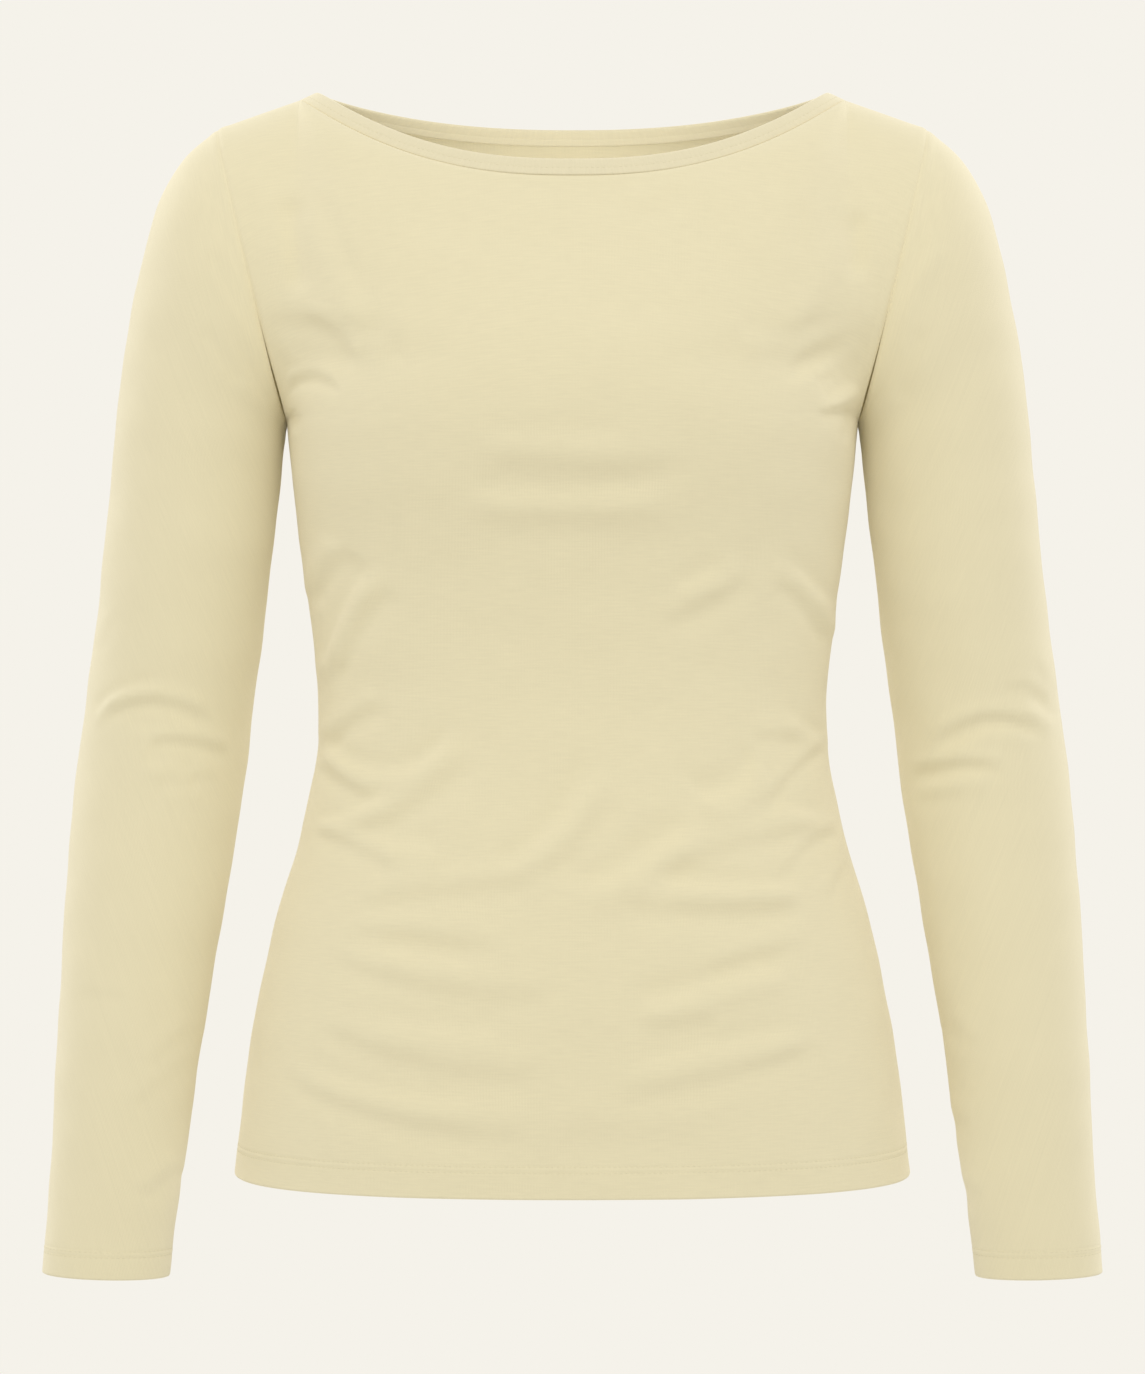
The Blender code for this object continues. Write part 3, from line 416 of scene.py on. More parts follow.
def ease(share):
    """Smooth step: 3s^2 - 2s^3 of the share held between 0 and 1."""
    share = np.clip(share, 0.0, 1.0)
    return share * share * (3.0 - 2.0 * share)


def bell(distance, half_width):
    """Bell curve: e to the minus square of distance over half width."""
    return np.exp(-((distance / half_width) ** 2))


def unit(vectors):
    """Each vector over its length."""
    return vectors / np.linalg.norm(vectors, axis=-1, keepdims=True)


def hermite(start, end, leave, arrive, share):
    """Cubic from start to end, with its slope at both."""
    square, cube = share**2, share**3
    return (
        (2 * cube - 3 * square + 1) * start
        + (cube - 2 * square + share) * leave
        + (3 * square - 2 * cube) * end
        + (cube - square) * arrive
    )


def through(knots, values, at):
    """Smooth curve through the values at the knots, one cubic between each two."""
    knots = np.asarray(knots)
    slopes = np.gradient(values, knots, axis=0)
    left = np.clip(np.searchsorted(knots, at, side="right") - 1, 0, len(knots) - 2)
    span = knots[left + 1] - knots[left]
    share = (at - knots[left]) / span
    if values.ndim > 1:
        span, share = span[..., None], share[..., None]
    return hermite(
        values[left], values[left + 1], slopes[left] * span, slopes[left + 1] * span, share
    )


def steps(*runs):
    """Numbers over several runs, each (from, to, count), joined end to end."""
    parts = [np.linspace(start, end, count, endpoint=False) for start, end, count in runs]
    return np.concatenate([*parts, [runs[-1][1]]])


def arc_lengths(points, axis):
    """Length run along the grid's rows (axis 1) or columns (axis 0), from the first point."""
    lengths = np.linalg.norm(np.diff(points, axis=axis), axis=-1)
    start = np.zeros_like(np.take(lengths, [0], axis=axis))
    return np.concatenate([start, np.cumsum(lengths, axis=axis)], axis=axis)


# Form of the neck, sleeves and panels, as in the frame's source --------------------------------


def neck_curve(half_width, point_level, middle, angle):
    """Half a boat neck, from the middle (angle 0) to the neck point (a right angle): it runs out with
    the sine, back with a power of the cosine, and up with a power of the sine."""
    middle_level, middle_depth = middle
    across = np.sin(angle)
    depth = middle_depth * np.clip(np.cos(angle), 0.0, 1.0) ** NECK_ROUNDNESS
    level = middle_level + (point_level - middle_level) * np.abs(across) ** NECK_RISE_POWER
    return np.stack([half_width * across, depth, level], axis=-1)


def neck_edges(side, angle):
    """The panel's neck edge and the binding's folded edge."""
    return (
        neck_curve(NECK_HALF_WIDTH, NECK_POINT_LEVEL, NECK_MIDDLES[side], angle),
        neck_curve(BINDING_HALF_WIDTH, BINDING_POINT_LEVEL, BINDING_MIDDLES[side], angle),
    )


def neck_normals(side, angle):
    """Outward normal of the binding: square to its height and to the run of its edge."""
    step = 1e-3
    seam, fold = neck_edges(side, angle)
    ahead = neck_edges(side, np.minimum(angle + step, np.pi / 2))[0]
    behind = neck_edges(side, np.maximum(angle - step, 0.0))[0]
    return unit(np.cross(ahead - behind, fold - seam)) * -side


SLEEVE = columns(SLEEVE_COLUMNS, SLEEVE_SECTIONS)
OUTER_STEPS = np.hypot(np.diff(SLEEVE["outer_x"]), np.diff(SLEEVE["outer_z"]))
SLEEVE_RUN = np.concatenate([[0.0], np.cumsum(OUTER_STEPS)])  # down the outer edge
SLEEVE_LENGTH = SLEEVE_RUN[-1]
TORSO = columns(TORSO_COLUMNS, TORSO_SECTIONS)


def sleeve_ring(run, around):
    """Points of the left sleeve at a run down its outer edge. around is 0 under the arm and half a turn
    at the outer edge, above zero over the back and below it over the front. Sections are ellipses."""
    at = {name: through(SLEEVE_RUN, SLEEVE[name], run) for name in SLEEVE_COLUMNS}
    outer, inner = 0.5 - 0.5 * np.cos(around), 0.5 + 0.5 * np.cos(around)
    x = at["outer_x"] * outer + at["inner_x"] * inner
    z = at["outer_z"] * outer + at["inner_z"] * inner
    y = at["middle"] + at["half_depth"] * np.sin(around)
    return np.stack(np.broadcast_arrays(x, y, z), axis=-1)


ARMHOLE_START = np.array(0.0)
ARMHOLE_TOP = sleeve_ring(ARMHOLE_START, np.array(np.pi))
ARMHOLE_BOTTOM = sleeve_ring(ARMHOLE_START, np.array(0.0))
ARMHOLE_UP = unit(ARMHOLE_TOP - ARMHOLE_BOTTOM)
ARMHOLE_OUT = np.array([ARMHOLE_UP[2], 0.0, -ARMHOLE_UP[0]])
NECK_POINT = neck_edges(FRONT, np.array(np.pi / 2))[0]
RIDGE_NORMAL = unit(
    np.array([NECK_POINT[2] - ARMHOLE_TOP[2], 0.0, ARMHOLE_TOP[0] - NECK_POINT[0]])
)


def armhole_angles():
    """Angles round half an armhole at the panels' upper rows."""
    return np.linspace(0.0, np.pi, UPPER_ROWS + 1)[1:]


def upper_rises():
    """Shares of the way up from the underarm for the upper rows: half of one less the cosine."""
    return 0.5 - 0.5 * np.cos(armhole_angles())


def armhole_normals(around):
    """Normal shared by panel and sleeve along the armhole: away from the hole's middle, and out."""
    away = -np.cos(around)[:, None] * ARMHOLE_UP + np.sin(around)[:, None] * [0.0, 1.0, 0.0]
    return unit(away + SEAM_LEAN * ARMHOLE_OUT)


def armhole_share(around):
    """How far the shared normal holds: all round but under the arm."""
    from_bottom = np.pi - np.abs(np.pi - np.abs(around))
    return ease((from_bottom - UNDERARM_ANGLE) / UNDERARM_ANGLE)


def turned_rows(depth):
    """Distances of rows above a turned edge: close at the fold and through the two rows of stitches."""
    ends = (
        0.0,
        FOLD_END,
        depth - STITCHED_BELOW,
        depth + STITCHED_ABOVE,
        depth + PAST_RAW_EDGE,
    )
    return steps(*zip(ends[:-1], ends[1:], TURNED_COUNTS))


def needle_rows(depth):
    """Distances of the two rows of stitches above the turned edge."""
    upper = depth - UPPER_ROW_BELOW
    return upper, upper - NEEDLE_SPACING


def column_shares(side):
    """Shares of the half width for the columns: even to the neck point, then closer to the edge."""
    split = NECK_SHARES[side]
    rest = 1.0 - (1.0 - np.linspace(0.0, 1.0, SHOULDER_COLUMNS + 1)[1:]) ** EDGE_CROWDING
    return np.concatenate(
        [np.linspace(0.0, split, NECK_COLUMNS + 1), split + (1.0 - split) * rest]
    )


def panel_levels(cloth):
    """Levels of the rows from the hem to the underarm."""
    hem = HEM_LEVEL + turned_rows(cloth.hem_depth)
    return np.concatenate([hem[:-1], np.linspace(hem[-1], UNDERARM_LEVEL, LOWER_ROWS)])


def share_at_depth(rows, depth):
    """Share of each row at which it comes to a depth, found by halving."""
    low, high = np.zeros_like(depth), np.ones_like(depth)
    way = np.sign(rows[1][:, 1] - rows[0][:, 1])
    for _ in range(40):
        middle = (low + high) / 2
        reached = way * (hermite(*(part[:, 1] for part in rows), middle) - depth) >= 0.0
        low, high = np.where(reached, low, middle), np.where(reached, middle, high)
    return high


def panel_rows(side, below):
    """For each row of a panel: centre point, edge point, the slopes at both, the point it meets on the
    seam, and its share there. A row just above the underarm heads for a point behind the armhole's
    edge, and ends where it comes past that edge."""
    table = columns(ROW_COLUMNS, PANEL_ROWS[side])
    rises = upper_rises()
    above = UNDERARM_LEVEL + rises * (table["level"][-1] - UNDERARM_LEVEL)
    levels = np.concatenate([below, above])
    at = {name: through(table["level"], table[name], levels) for name in ROW_COLUMNS}
    seam = np.stack(
        [
            through(TORSO["level"], TORSO["half_width"], below),
            through(TORSO["level"], TORSO["seam_depth"], below),
            below,
        ],
        axis=-1,
    )
    armhole = sleeve_ring(np.zeros_like(rises), side * armhole_angles())
    behind = armhole.copy()
    depth_gone = 1.0 - ease(rises / BEHIND_END)
    behind[:, 1] += depth_gone * (ARMHOLE_BOTTOM[1] - armhole[:, 1])
    raised = armhole[:, 2] - UNDERARM_LEVEL
    lean = ARMHOLE_UP[0] / ARMHOLE_UP[2] - (seam[-1, 0] - seam[-2, 0]) / (below[-1] - below[-2])
    behind[:, 0] -= lean * raised * np.exp(-raised / FLARE_HEIGHT)
    edge = np.concatenate([seam, behind])
    zero = np.zeros_like(levels)
    centre = np.stack([zero, at["depth"], levels], axis=-1)
    turned = (90.0 - at["edge_angle"]) * ease((levels - UNDERARM_LEVEL) / TURN_FORWARD)
    turn = np.radians(90.0 - turned)
    reach = at["shoulder"] * np.abs(edge[:, 1] - centre[:, 1])
    reach = np.maximum(reach, LEAST_REACH * edge[:, 0] * np.cos(turn))
    leave = np.stack([at["crown"] * edge[:, 0], zero, zero], axis=-1)
    arrive = np.stack([reach * np.cos(turn), -side * reach * np.sin(turn), zero], axis=-1)
    rows = (centre, edge, leave, arrive)
    ends = np.ones_like(levels)
    ends[len(below) :] = share_at_depth([part[len(below) :] for part in rows], armhole[:, 1])
    return rows, np.concatenate([seam, armhole]), ends


def panel_top(side, shares):
    """Top edge of half a panel: along the neck to the neck point, then down the shoulder seam."""
    split = NECK_SHARES[side]
    neck = neck_edges(side, np.minimum(shares / split, 1.0) * np.pi / 2)[0]
    down = np.clip((shares - split) / (1.0 - split), 0.0, 1.0)[:, None]
    shoulder = NECK_POINT + down * (ARMHOLE_TOP - NECK_POINT)
    return np.where(shares[:, None] <= split, neck, shoulder)


def half_panel(side, below):
    """Outer surface of half a panel, rows from the hem up and columns from the centre line out. Each
    row is a cubic from the centre line to the edge, and the upper rows rise to the neck and shoulder."""
    shares = column_shares(side)
    across = shares[None, :, None]
    rows, meets, ends = panel_rows(side, below)
    grid = hermite(*(part[:, None, :] for part in rows), across * ends[:, None, None])
    grid += across**MEET_POWER * (meets[:, None, :] - grid[:, -1:])
    dip = HEM_DIP * (1.0 - shares**2)
    grid[..., 2] -= dip * ease((UNDERARM_LEVEL - grid[..., 2]) / (UNDERARM_LEVEL - HEM_LEVEL))
    rise = np.concatenate([np.zeros(len(below)), upper_rises()])[:, None, None]
    lift = panel_top(side, shares) - grid[-1]
    knots = np.array([*NECK_KNOTS[side], NECK_SHARES[side], 1.0])
    at_knots = np.stack([np.interp(knots, shares, lift[:, axis]) for axis in range(3)], axis=-1)
    rounded = through(knots, at_knots, shares)
    return grid + rise**LIFT_POWER * rounded + rise**CORNER_POWER * (lift - rounded)


def mirrored(half):
    """A whole panel from its left half."""
    return np.concatenate([half[:, :0:-1] * MIRROR, half], axis=1)


# Creases ----------------------------------------------------------------------------------------


def seen(points):
    """x and z where the eye in front sees the points, on the plane y = 0."""
    scale = EYE_DISTANCE / (EYE_DISTANCE + points[..., 1])
    return points[..., 0] * scale, EYE_LEVEL + (points[..., 2] - EYE_LEVEL) * scale


def creases(table, across, up):
    """Sum of the table's folds. Across its bowed line each is a bell, times the distance over the half
    width where it is skewed, and it fades towards its ends."""
    height = np.zeros_like(across)
    for crease in (dict(zip(CREASE_COLUMNS, row)) for row in table):
        run_x, run_z = crease["x1"] - crease["x0"], crease["z1"] - crease["z0"]
        length = np.hypot(run_x, run_z)
        from_x, from_z = across - crease["x0"], up - crease["z0"]
        along = (from_x * run_x + from_z * run_z) / length**2
        middle = 1.0 - (2.0 * along - 1.0) ** 2
        fade = ease(middle * (2.0 - 2.0 * CREASE_END) + CREASE_END)
        wide = crease["width0"] + (crease["width1"] - crease["width0"]) * np.clip(along, 0.0, 1.0)
        beside = (from_z * run_x - from_x * run_z) / length
        beside = (beside - crease["bow"] * np.maximum(middle, 0.0)) / wide
        skew = crease["skew"]
        profile = bell(beside, 1.0) * (1.0 - skew + skew * SKEW_GAIN * beside)
        height += crease["height"] * fade * profile
    return height


def waves(across, up):
    """Slow uneven waves: a sum of sines in slanting directions."""
    height = np.zeros_like(across)
    for wave in (dict(zip(WAVE_COLUMNS, row)) for row in WAVES):
        turns = wave["across"] * across + wave["up"] * up
        height += wave["height"] * np.sin(2.0 * np.pi * turns + wave["phase"])
    return height


def facing_front(points):
    """1 on the front half of the garment and 0 on the back."""
    return ease((SIDE_WIDTH - points[..., 1]) / (2 * SIDE_WIDTH))


def torso_creases(points, from_seam, strength):
    """Height of the torso's creases: the front's and the back's, which meet at the side seams."""
    across, up = seen(points)
    front = facing_front(points)
    height = front * creases(FRONT_CREASES, across, up)
    height += (1.0 - front) * creases(BACK_CREASES, points[..., 0], points[..., 2])
    height += waves(points[..., 0] + points[..., 1], points[..., 2])
    return strength * height * ease(from_seam / CALM_WIDTH)


def arm_creases(points, table, from_seam, strength):
    """Height of a sleeve's creases, those that face forwards and those behind."""
    across, up = seen(points)
    front = facing_front(points)
    height = front * creases(table, across, up)
    behind = creases(ARM_BACK_CREASES, np.abs(points[..., 0]), points[..., 2])
    height += (1.0 - front) * behind
    height += waves(points[..., 0] - points[..., 1], points[..., 2])
    return strength * height * ease(from_seam / CALM_WIDTH)


def seam_dip(distance, depth):
    """How far the cloth dips to a seam, less the low roll of the allowance beside it."""
    roll = ROLL_HEIGHT * bell(distance - ROLL_PLACE, ROLL_HALF_WIDTH)
    return depth * bell(distance, SEAM_HALF_WIDTH) - roll


def needle_relief(above, depth):
    """Relief of twin-needle stitching: a dip at both rows and the tunnel raised between them."""
    upper, lower = needle_rows(depth)
    dips = bell(above - upper, NEEDLE_DIP_WIDTH) + bell(above - lower, NEEDLE_DIP_WIDTH)
    return TUNNEL_HEIGHT * bell(above - (upper + lower) / 2, TUNNEL_WIDTH) - NEEDLE_DIP * dips


def fold_shift(above, wall):
    """How far each face of a folded edge bends in to its middle: a quarter circle of half the wall."""
    radius = wall / 2
    inside = np.clip(radius - above, 0.0, radius)
    return np.minimum(radius - np.sqrt(radius**2 - inside**2), FOLD_CLOSING * radius)


def wall_thickness(above, depth, cloth):
    """Single cloth, and double below the raw edge of the turned hem."""
    turned = 1.0 - ease((above - depth) / TURN_STEP)
    return cloth.wall + (cloth.turned_wall - cloth.wall) * turned


# Meshes -----------------------------------------------------------------------------------------


def grid_quads(rows, cols, closed=False, first=0, flip=False):
    """Quads of a grid of points. A closed one joins its last column to its first."""
    index = first + np.arange(rows * cols).reshape(rows, cols)
    if closed:
        index = np.concatenate([index, index[:, :1]], axis=1)
    quads = np.stack([index[:-1, :-1], index[:-1, 1:], index[1:, 1:], index[1:, :-1]], axis=-1)
    quads = quads.reshape(-1, 4)
    return quads[:, ::-1] if flip else quads


def surface_normals(grid, closed=False):
    """Vertex normals of a grid: the cross product of its two slopes."""
    if closed:
        wrapped = np.concatenate([grid[:, -1:], grid, grid[:, :1]], axis=1)
        across = wrapped[:, 2:] - wrapped[:, :-2]
    else:
        across = np.gradient(grid, axis=1)
    return unit(np.cross(across, np.gradient(grid, axis=0)))


def rim_quads(outer, inner):
    """Quads between an outer and an inner line of points."""
    return np.stack([outer[:-1], inner[:-1], inner[1:], outer[1:]], axis=-1)


def add_mesh(name, points, quads, uv, material):
    """A smooth-shaded mesh object with its cloth coordinates, riding on the body."""
    mesh = bpy.data.meshes.new(name)
    mesh.from_pydata(points, [], quads)
    mesh.shade_smooth()
    layer = mesh.uv_layers.new(name="cloth")
    corners = np.empty(len(mesh.loops), dtype=np.int32)
    mesh.loops.foreach_get("vertex_index", corners)
    layer.data.foreach_set("uv", np.asarray(uv, dtype=np.float32)[corners].ravel())
    mesh.materials.append(material)
    mesh.validate()
    made = bpy.data.objects.new(name, mesh)
    bpy.context.scene.collection.objects.link(made)
    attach(made, BODY)
    return made


def wall_object(name, outer, inner, uv, closed, material):
    """A closed wall between two like grids. A closed grid is a tube, open at its two ends."""
    rows, cols = outer.shape[:2]
    count = rows * cols
    index = np.arange(count).reshape(rows, cols)
    if closed:
        index = np.concatenate([index, index[:, :1]], axis=1)
        borders = [index[0], index[-1, ::-1]]
    else:
        borders = [index[0], index[:, -1], index[-1, ::-1], index[::-1, 0]]
    quads = [
        grid_quads(rows, cols, closed),
        grid_quads(rows, cols, closed, first=count, flip=True),
    ]
    quads += [rim_quads(border, border + count) for border in borders]
    points = np.concatenate([outer.reshape(-1, 3), inner.reshape(-1, 3)])
    both = np.concatenate([uv.reshape(-1, 2), uv.reshape(-1, 2)])
    return add_mesh(name, points, np.concatenate(quads), both, material)


def blended(own, shared, weight):
    """Own normals turned to the shared ones: their weighted sum at length one."""
    return unit(own * (1.0 - weight) + shared * weight)


def panel_surface(side, cloth):
    """The whole panel: outer and inner points, normals, cloth coordinates and heights above the hem."""
    below = panel_levels(cloth)
    grid = mirrored(half_panel(side, below))
    rows, cols = grid.shape[:2]
    middle = cols // 2
    armpit = len(below) - 1
    # Distances along the cloth to the edge seams, to the top edge and round the armpit
    across = arc_lengths(grid, 1)
    from_edge = np.minimum(across, across[:, -1:] - across)
    up = arc_lengths(grid, 0)
    from_top = up[-1] - up
    beneath = np.maximum(up[armpit] - up, 0.0)
    from_armhole = np.hypot(from_edge, beneath)
    from_seam = np.minimum(from_armhole, from_top)
    height = torso_creases(grid, from_seam, cloth.crease_strength)
    grid = grid + height[..., None] * surface_normals(grid) * -side
    # Normals turn to the seam's own near every seam, so that both walls stay parallel there
    normals = surface_normals(grid) * -side
    slope = np.gradient(through(TORSO["level"], TORSO["half_width"], below), below)
    seam = unit(np.stack([np.ones_like(slope), np.zeros_like(slope), -slope], axis=-1))
    around = side * armhole_angles()
    edge_normals = np.concatenate([seam, armhole_normals(around)])
    edge_share = np.concatenate([np.ones_like(below), armhole_share(around)])
    edge_share[armpit - ARMPIT_ROWS : armpit + 1] *= np.linspace(1.0, 0.0, ARMPIT_ROWS + 1)
    near = edge_share[:, None] * (1.0 - ease(from_edge / SEAM_TURN_WIDTH))
    edge_grid = np.broadcast_to(edge_normals[:, None], grid.shape).copy()
    edge_grid[:, :middle] *= MIRROR
    normals = blended(normals, edge_grid, near[..., None])
    shares = column_shares(side)
    neck = neck_normals(side, np.minimum(shares / NECK_SHARES[side], 1.0) * np.pi / 2)
    on_ridge = (shares > NECK_SHARES[side])[:, None]
    top = mirrored(np.where(on_ridge, RIDGE_NORMAL, neck)[None])
    near_top = (1.0 - ease(from_top / TOP_TURN_WIDTH))[..., None]
    normals = blended(normals, top, near_top)
    # Sunk seams, turned hem and rounded edges
    depth = cloth.hem_depth
    above = up - up[0]
    wall = wall_thickness(above, depth, cloth)
    shift = fold_shift(above, wall)
    at_side = np.arange(rows) <= armpit
    seam_depth = cloth.seam_depth * np.where(at_side, SIDE_SEAM_SHARE, 1.0)[:, None]
    sunk = seam_dip(from_edge, seam_depth)
    sunk += seam_dip(from_top, TOP_SEAM_SHARE * cloth.seam_depth)
    relief = needle_relief(above, depth) - sunk - shift
    outer = grid + relief[..., None] * normals
    inner = grid - (wall - shift)[..., None] * normals
    uv = np.stack([across - across[:, middle : middle + 1], up - up[armpit]], axis=-1)
    if side == BACK:
        outer, inner, normals, uv, above = (
            part[:, ::-1] for part in (outer, inner, normals, uv, above)
        )
    return outer, inner, normals, uv, above


def sleeve_surface(hand, cloth):
    """A whole sleeve on the wearer's left (hand 1) or right (hand -1), as panel_surface."""
    cuff = SLEEVE_LENGTH - turned_rows(cloth.cuff_depth)[::-1]
    cap = CAP_RUN * np.linspace(0.0, 1.0, CAP_ROWS + 1) ** CAP_CROWDING
    runs = np.concatenate([cap[:-1], np.linspace(CAP_RUN, cuff[0], SLEEVE_ROWS)[:-1], cuff])
    around = np.linspace(0.0, 2 * np.pi, SLEEVE_COLUMNS_ROUND, endpoint=False)
    grid = sleeve_ring(runs[:, None], around[None, :])
    down = arc_lengths(grid, 0)
    rounds = arc_lengths(np.concatenate([grid, grid[:, :1]], axis=1), 1)
    girth = rounds[:, -1:]
    rounds = rounds[:, :-1]
    from_seam = np.minimum(rounds, girth - rounds)
    table = LEFT_ARM_CREASES if hand > 0 else RIGHT_ARM_CREASES
    placed = grid * [hand, 1.0, 1.0]
    height = arm_creases(placed, table, down, cloth.crease_strength)
    grid = grid + height[..., None] * surface_normals(grid, closed=True)
    normals = surface_normals(grid, closed=True)
    near = armhole_share(around)[None, :] * (1.0 - ease(down / SEAM_TURN_WIDTH))
    normals = blended(normals, armhole_normals(around), near[..., None])
    depth = cloth.cuff_depth
    above = down[-1] - down
    wall = wall_thickness(above, depth, cloth)
    shift = fold_shift(above, wall)
    sunk = seam_dip(down, cloth.seam_depth)
    sunk += seam_dip(from_seam, SLEEVE_SEAM_SHARE * cloth.seam_depth)
    relief = needle_relief(above, depth) - sunk - shift
    outer = grid + relief[..., None] * normals
    inner = grid - (wall - shift)[..., None] * normals
    uv = np.stack([rounds, -down], axis=-1)
    if hand < 0:
        outer, inner, normals = (part[:, ::-1] * MIRROR for part in (outer, inner, normals))
        uv, above = uv[:, ::-1], above[:, ::-1]
    return outer, inner, normals, uv, above


def neck_loop(columns_each):
    """Right round the neck: panel edge, binding fold and outward normals, from the middle front."""
    angle = np.linspace(0.0, np.pi / 2, columns_each + 1)
    rings = [(*neck_edges(side, angle), neck_normals(side, angle)) for side in (FRONT, BACK)]
    loops = []
    for front_line, back_line in zip(*rings):
        left = np.concatenate([front_line, back_line[-2::-1]])
        loops.append(np.concatenate([left, left[-2:0:-1] * MIRROR]))
    return loops


def offset_line(line, distance):
    """A flat line moved sideways by a distance, square to its run."""
    run = unit(np.gradient(line, axis=0))
    return line + distance * np.stack([-run[:, 1], run[:, 0]], axis=-1)


def binding_surface(cloth):
    """Closed section of the folded strip, carried round the neck: first its line in real sizes, then
    both faces of the cloth."""
    seam, fold, normals = neck_loop(BINDING_COLUMNS)
    rise = fold - seam
    half = np.array(BINDING_LINE)
    line = np.concatenate([half, half[::-1] * [-1.0, 1.0]])
    height = np.linalg.norm(rise, axis=-1).mean()
    flat = line * [cloth.binding_thickness / 2, height]
    faces = [offset_line(flat, way * BINDING_CLOTH / 2) for way in (-1.0, 1.0)]
    profile = np.concatenate([faces[0], faces[1][::-1]]) / [1.0, height]
    foot = seam - normals * cloth.wall / 2
    grid = foot + profile[:, None, :1] * normals + profile[:, None, 1:] * rise
    run = arc_lengths(np.concatenate([seam, seam[:1]])[None], 1)[0, :-1]
    strip = arc_lengths(np.concatenate([flat, flat[::-1]])[None], 1)[0]
    uv = np.stack(np.broadcast_arrays(run[None, :], strip[:, None]), axis=-1)
    return grid, uv


def spaced(points, normals, pitch, closed):
    """Points, tangents and normals every pitch along a line."""
    if closed:
        points = np.concatenate([points, points[:1]])
        normals = np.concatenate([normals, normals[:1]])
    run = arc_lengths(points[None], 1)[0]
    count = max(int(round(run[-1] / pitch)), 1)
    at = (np.arange(count) + 0.5) * run[-1] / count
    placed = [
        np.stack([np.interp(at, run, part[:, axis]) for axis in range(3)], axis=-1)
        for part in (points, normals, np.gradient(points, run, axis=0))
    ]
    return placed[0], unit(placed[1]), unit(placed[2])


def stitch_row(lines, stitches):
    """Points and faces of rows of short stitches. Each stitch is a flattened spindle that lies along
    its line: its width goes with the root of one less the square of the way along, and its ends are
    sunk into the cloth."""
    along = np.linspace(-1.0, 1.0, STITCH_RINGS)
    swell = np.sqrt(np.clip(1.0 - STITCH_TAPER * along**2, 0.0, 1.0))
    turn = np.linspace(0.0, 2 * np.pi, STITCH_SIDES, endpoint=False)
    local_x = 0.5 * stitches.length * along[:, None] + 0.0 * turn
    local_y = 0.5 * stitches.width * swell[:, None] * np.cos(turn)
    local_z = STITCH_HALF_HEIGHT * stitches.width * swell[:, None] * np.sin(turn)
    local_z = local_z + stitches.proud - STITCH_SINK * stitches.width * along[:, None] ** 2
    shape = np.stack([local_x, local_y, local_z], axis=-1).reshape(-1, 3)
    quads = grid_quads(STITCH_RINGS, STITCH_SIDES, closed=True)
    points, faces, total = [], [], 0
    for line, normals, closed in lines:
        place, out, run = spaced(line, normals, stitches.pitch, closed)
        beside = unit(np.cross(out, run))
        axes = np.stack([run, beside, out], axis=1)
        points.append((place[:, None] + shape @ axes).reshape(-1, 3))
        index = np.arange(len(place))[:, None, None] * len(shape)
        faces.append((quads[None] + index + total).reshape(-1, 4))
        total += len(place) * len(shape)
    index = np.arange(total).reshape(-1, STITCH_RINGS, STITCH_SIDES)
    ends = np.concatenate([index[:, 0, ::-1], index[:, -1]])
    return np.concatenate(points), np.concatenate(faces), ends


def add_stitches(name, lines, stitches, material):
    """One mesh of many stitches, closed at their ends."""
    points, quads, ends = stitch_row(lines, stitches)
    mesh = bpy.data.meshes.new(name)
    mesh.from_pydata(points.tolist(), [], quads.tolist() + ends.tolist())
    mesh.shade_smooth()
    mesh.materials.append(material)
    made = bpy.data.objects.new(name, mesh)
    bpy.context.scene.collection.objects.link(made)
    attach(made, BODY)
    return made


def row_at(surface, above_edge):
    """The grid's row nearest to a distance above the turned edge: its points and normals."""
    outer, _, normals, _, above = surface
    row = int(np.argmin(np.abs(above[:, 0] - above_edge)))
    return outer[row], normals[row]


# Materials --------------------------------------------------------------------------------------


def new_group(name, inputs, outputs):
    """An empty shader node group with named sockets, each (name, kind, default)."""
    group = bpy.data.node_groups.new(name, "ShaderNodeTree")
    for socket_name, kind, default in inputs:
        socket = group.interface.new_socket(name=socket_name, in_out="INPUT", socket_type=kind)
        if default is not None:
            socket.default_value = default
    for socket_name, kind in outputs:
        group.interface.new_socket(name=socket_name, in_out="OUTPUT", socket_type=kind)
    return group, group.nodes.new("NodeGroupInput"), group.nodes.new("NodeGroupOutput")


def math_node(tree, operation, *values):
    """A Math node whose inputs are sockets or numbers. Returns its output."""
    node = tree.nodes.new("ShaderNodeMath")
    node.operation = operation
    for socket, value in zip(node.inputs, values):
        if isinstance(value, bpy.types.NodeSocket):
            tree.links.new(value, socket)
        else:
            socket.default_value = value
    return node.outputs[0]


def knit_group():
    """Stocking-stitch loops: wales are half sines across, and in each the courses slant down to both
    sides like a V. Height is their product."""
    number = "NodeSocketFloat"
    group, source, result = new_group(
        "jersey_loops",
        (
            ("Vector", "NodeSocketVector", None),
            ("Wale Pitch", number, 0.0008),
            ("Course Pitch", number, 0.0006),
        ),
        (("Height", number),),
    )
    split = group.nodes.new("ShaderNodeSeparateXYZ")
    group.links.new(source.outputs["Vector"], split.inputs[0])
    wale = math_node(group, "DIVIDE", split.outputs["X"], source.outputs["Wale Pitch"])
    course = math_node(group, "DIVIDE", split.outputs["Y"], source.outputs["Course Pitch"])
    inside = math_node(group, "FRACT", wale)
    ridge = math_node(group, "SINE", math_node(group, "MULTIPLY", inside, np.pi))
    slant = math_node(group, "ABSOLUTE", math_node(group, "SUBTRACT", inside, 0.5))
    phase = math_node(group, "ADD", course, slant)
    loops = math_node(group, "SINE", math_node(group, "MULTIPLY", phase, 2 * np.pi))
    loops = math_node(group, "MULTIPLY_ADD", loops, LOOP_CONTRAST, 1.0 - LOOP_CONTRAST)
    group.links.new(math_node(group, "MULTIPLY", ridge, loops), result.inputs["Height"])
    return group


